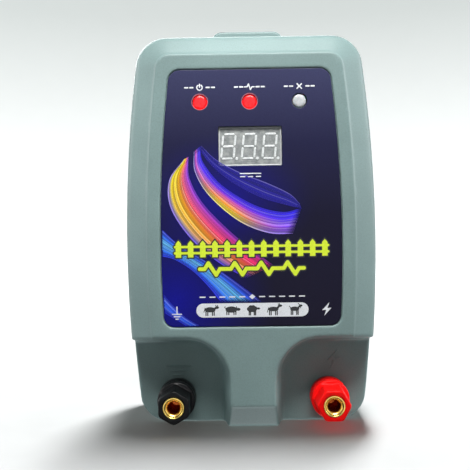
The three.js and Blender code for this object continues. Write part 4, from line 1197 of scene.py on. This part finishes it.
# ---- Display
def make_display():
    low, high = box_mm("display_module")
    step = 0.12
    x, y, z = axes(low, (high[0], low[1] + 2.4, high[2]), step)
    cx, _, cz = (low + high) / 2
    body = block((x, y, z), low, (high[0], low[1] + 6, high[2]), 0.25)
    well = np.maximum(pad(x, z, cx, cz, high[0] - cx - 0.6, high[2] - cz - 0.6, 0.3), y - low[1] - 0.12)
    body = round_cut(np.maximum(body, y - low[1] - 2.2), well, 0.06)
    face = Shader("display_face", 0.42)
    cloud = face.noise(0.5, 4.0, 0.65)
    dull, plain, pale = srgb(112, 117, 118), srgb(142, 146, 146), srgb(170, 173, 172)
    grey = face.ramp(cloud, (0.3, dull), (0.5, plain), (0.7, pale))
    depth = face.across(face.part("Y"), low[1] + 0.1, low[1] + 0.02)
    border = face.mix(depth, grey, srgb(204, 207, 207))
    face.link(border, "Base Color")
    face.link(face.ramp(cloud, (0.3, 0.36), (0.7, 0.5)), "Roughness")
    face.bump(face.noise(1.6, 3.0), 0.02)
    mesh = field_mesh("display_case", body, (x, y, z), step, 0.01)
    put("display_case", mesh, "case", "display_module", "display_face", face.material)

    tall, wide, pitch, lean, thick = 8.6, 4.4, 7.3, 0.1, 0.74
    bars = [(0, tall / 2, 0), (0, 0, 0), (0, -tall / 2, 0)]
    bars += [(a * wide / 2, b * tall / 4, 1) for a in (-1, 1) for b in (-1, 1)]

    def segments(x, z):
        parts = []
        for digit in (-1, 0, 1):
            v = z - cz
            u = x - cx - digit * pitch + 0.4 - lean * v
            for bx, bz, upright in bars:
                a, b = (v - bz, u - bx) if upright else (u - bx, v - bz)
                length = (tall / 4 if upright else wide / 2) - 0.24
                ends = (np.abs(a) + np.abs(b) - length) * 0.7071
                parts.append(np.maximum(np.abs(b) - thick / 2, ends))
            parts.append(np.hypot(u - wide / 2 - 1.15, v + tall / 2) - 0.55)
        return union(*parts)

    lens = Shader("segment_white", 0.3, Subsurface_Weight=0.2)
    lens.set("Subsurface Radius", (0.0006, 0.0006, 0.0006))
    fine = lens.speckle(srgb(222, 226, 227), srgb(238, 240, 240), srgb(204, 209, 211), 1.6)
    lens.bump(fine, 0.006)
    extent = (low[0], high[0], low[2], high[2])
    front, slot = low[1] - PANEL_Y + 0.02, "display_face"
    relief("display_segments", segments, extent, front, 0.16, lens.material, slot, 0.1, 0.1)


make_display()


# ---- Raised marks in the two stepped corners
def make_floor_marks():
    left, right = POSTS["earth"], POSTS["fence"]

    def earth(x, z):
        return earth_bars(x, z, left[0] + 0.3, left[2] + 11.1, (4.3, 3.1, 2.0), 1.6, 0.62)

    def spark(x, z):
        return bolt(x, z, right[0] + 2.3, right[2] + 13.2, 7.4)

    for name, field, post in (("earth_relief", earth, left), ("spark_relief", spark, right)):
        extent = (post[0] - 7, post[0] + 8, post[2] + 6, post[2] + 18)
        relief(name, field, extent, STEP_DEPTH - 0.3, 0.6, case_plastic, "case_plastic", 0.12, 0.15)


make_floor_marks()


# ---- Side switch
def make_switch():
    low, high = box_mm("switch_frame")
    joints = frame["record"]["behaviour"]["joints"]
    pivot = next(j for j in joints if j["name"] == "switch_rock")["pos_m"]
    px, py, pz = (c * 1000 for c in pivot)
    step = 0.14
    x, y, z = axes(low, high, step)
    bezel = block((x, y, z), (px + 1, py - 5.4, pz - 7.8), (high[0], py + 5.4, pz + 7.8), 0.7)
    barrel = block((x, y, z), (px - 11, py - 4.3, pz - 6.5), (px + 2, py + 4.3, pz + 6.5), 0.5)
    body = union(bezel, barrel)
    for blade in (-4, 4):
        near, far = (low[0], py - 1.6, pz + blade - 0.4), (px - 10, py + 1.6, pz + blade + 0.4)
        tab = block((x, y, z), near, far, 0.1)
        body = union(body, tab)
    well = block((x, y, z), (px - 7, py - 3.6, pz - 5.8), (px + 9, py + 3.6, pz + 5.8), 0.3)
    body = round_cut(body, well, 0.35)
    mesh = field_mesh("switch_bezel", body, (x, y, z), step, 0.006)
    put("switch_bezel", mesh, "case", "switch_frame", "black_plastic", black_plastic)

    low, high = box_mm("switch_rocker")
    x, y, z = axes(low, high, step)
    tilt = math.radians(12)
    out = (x - px) * math.cos(tilt) + (z - pz) * math.sin(tilt)
    along = (z - pz) * math.cos(tilt) - (x - px) * math.sin(tilt)
    outline = [(2.9, -4.9), (-0.8, -4.3), (-3, -1.5), (-3, 1.5), (-0.8, 4.3), (2.9, 4.9)]
    outline += [(2.25, 3.6), (1.85, 2.2), (1.62, 0.8), (1.62, -0.8), (1.85, -2.2), (2.25, -3.6)]
    body = round_max(polygon(out, along, outline) + 0 * y, np.abs(y - py) - 3.28, 0.35)
    ring = np.abs(np.hypot(along + 3.1, y - py) - 0.85) - 0.17
    line = np.maximum(np.abs(along - 3.1) - 0.95, np.abs(y - py) - 0.17)
    mark = np.maximum(np.maximum(union(ring + 0 * out, line + 0 * out), -(body + 0.22)), -out)
    body = round_cut(body, mark, 0.05)
    mesh = field_mesh("rocker_cap", body, (x, y, z), step, 0.004)
    put("rocker_cap", mesh, "rocker", "switch_rocker", "black_plastic", black_plastic)


make_switch()


# ---- The end
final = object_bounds()
boxes = {"cad": CAD_BOX, "visual": final}
{k: [list(v) for v in b] for k, b in boxes.items()}
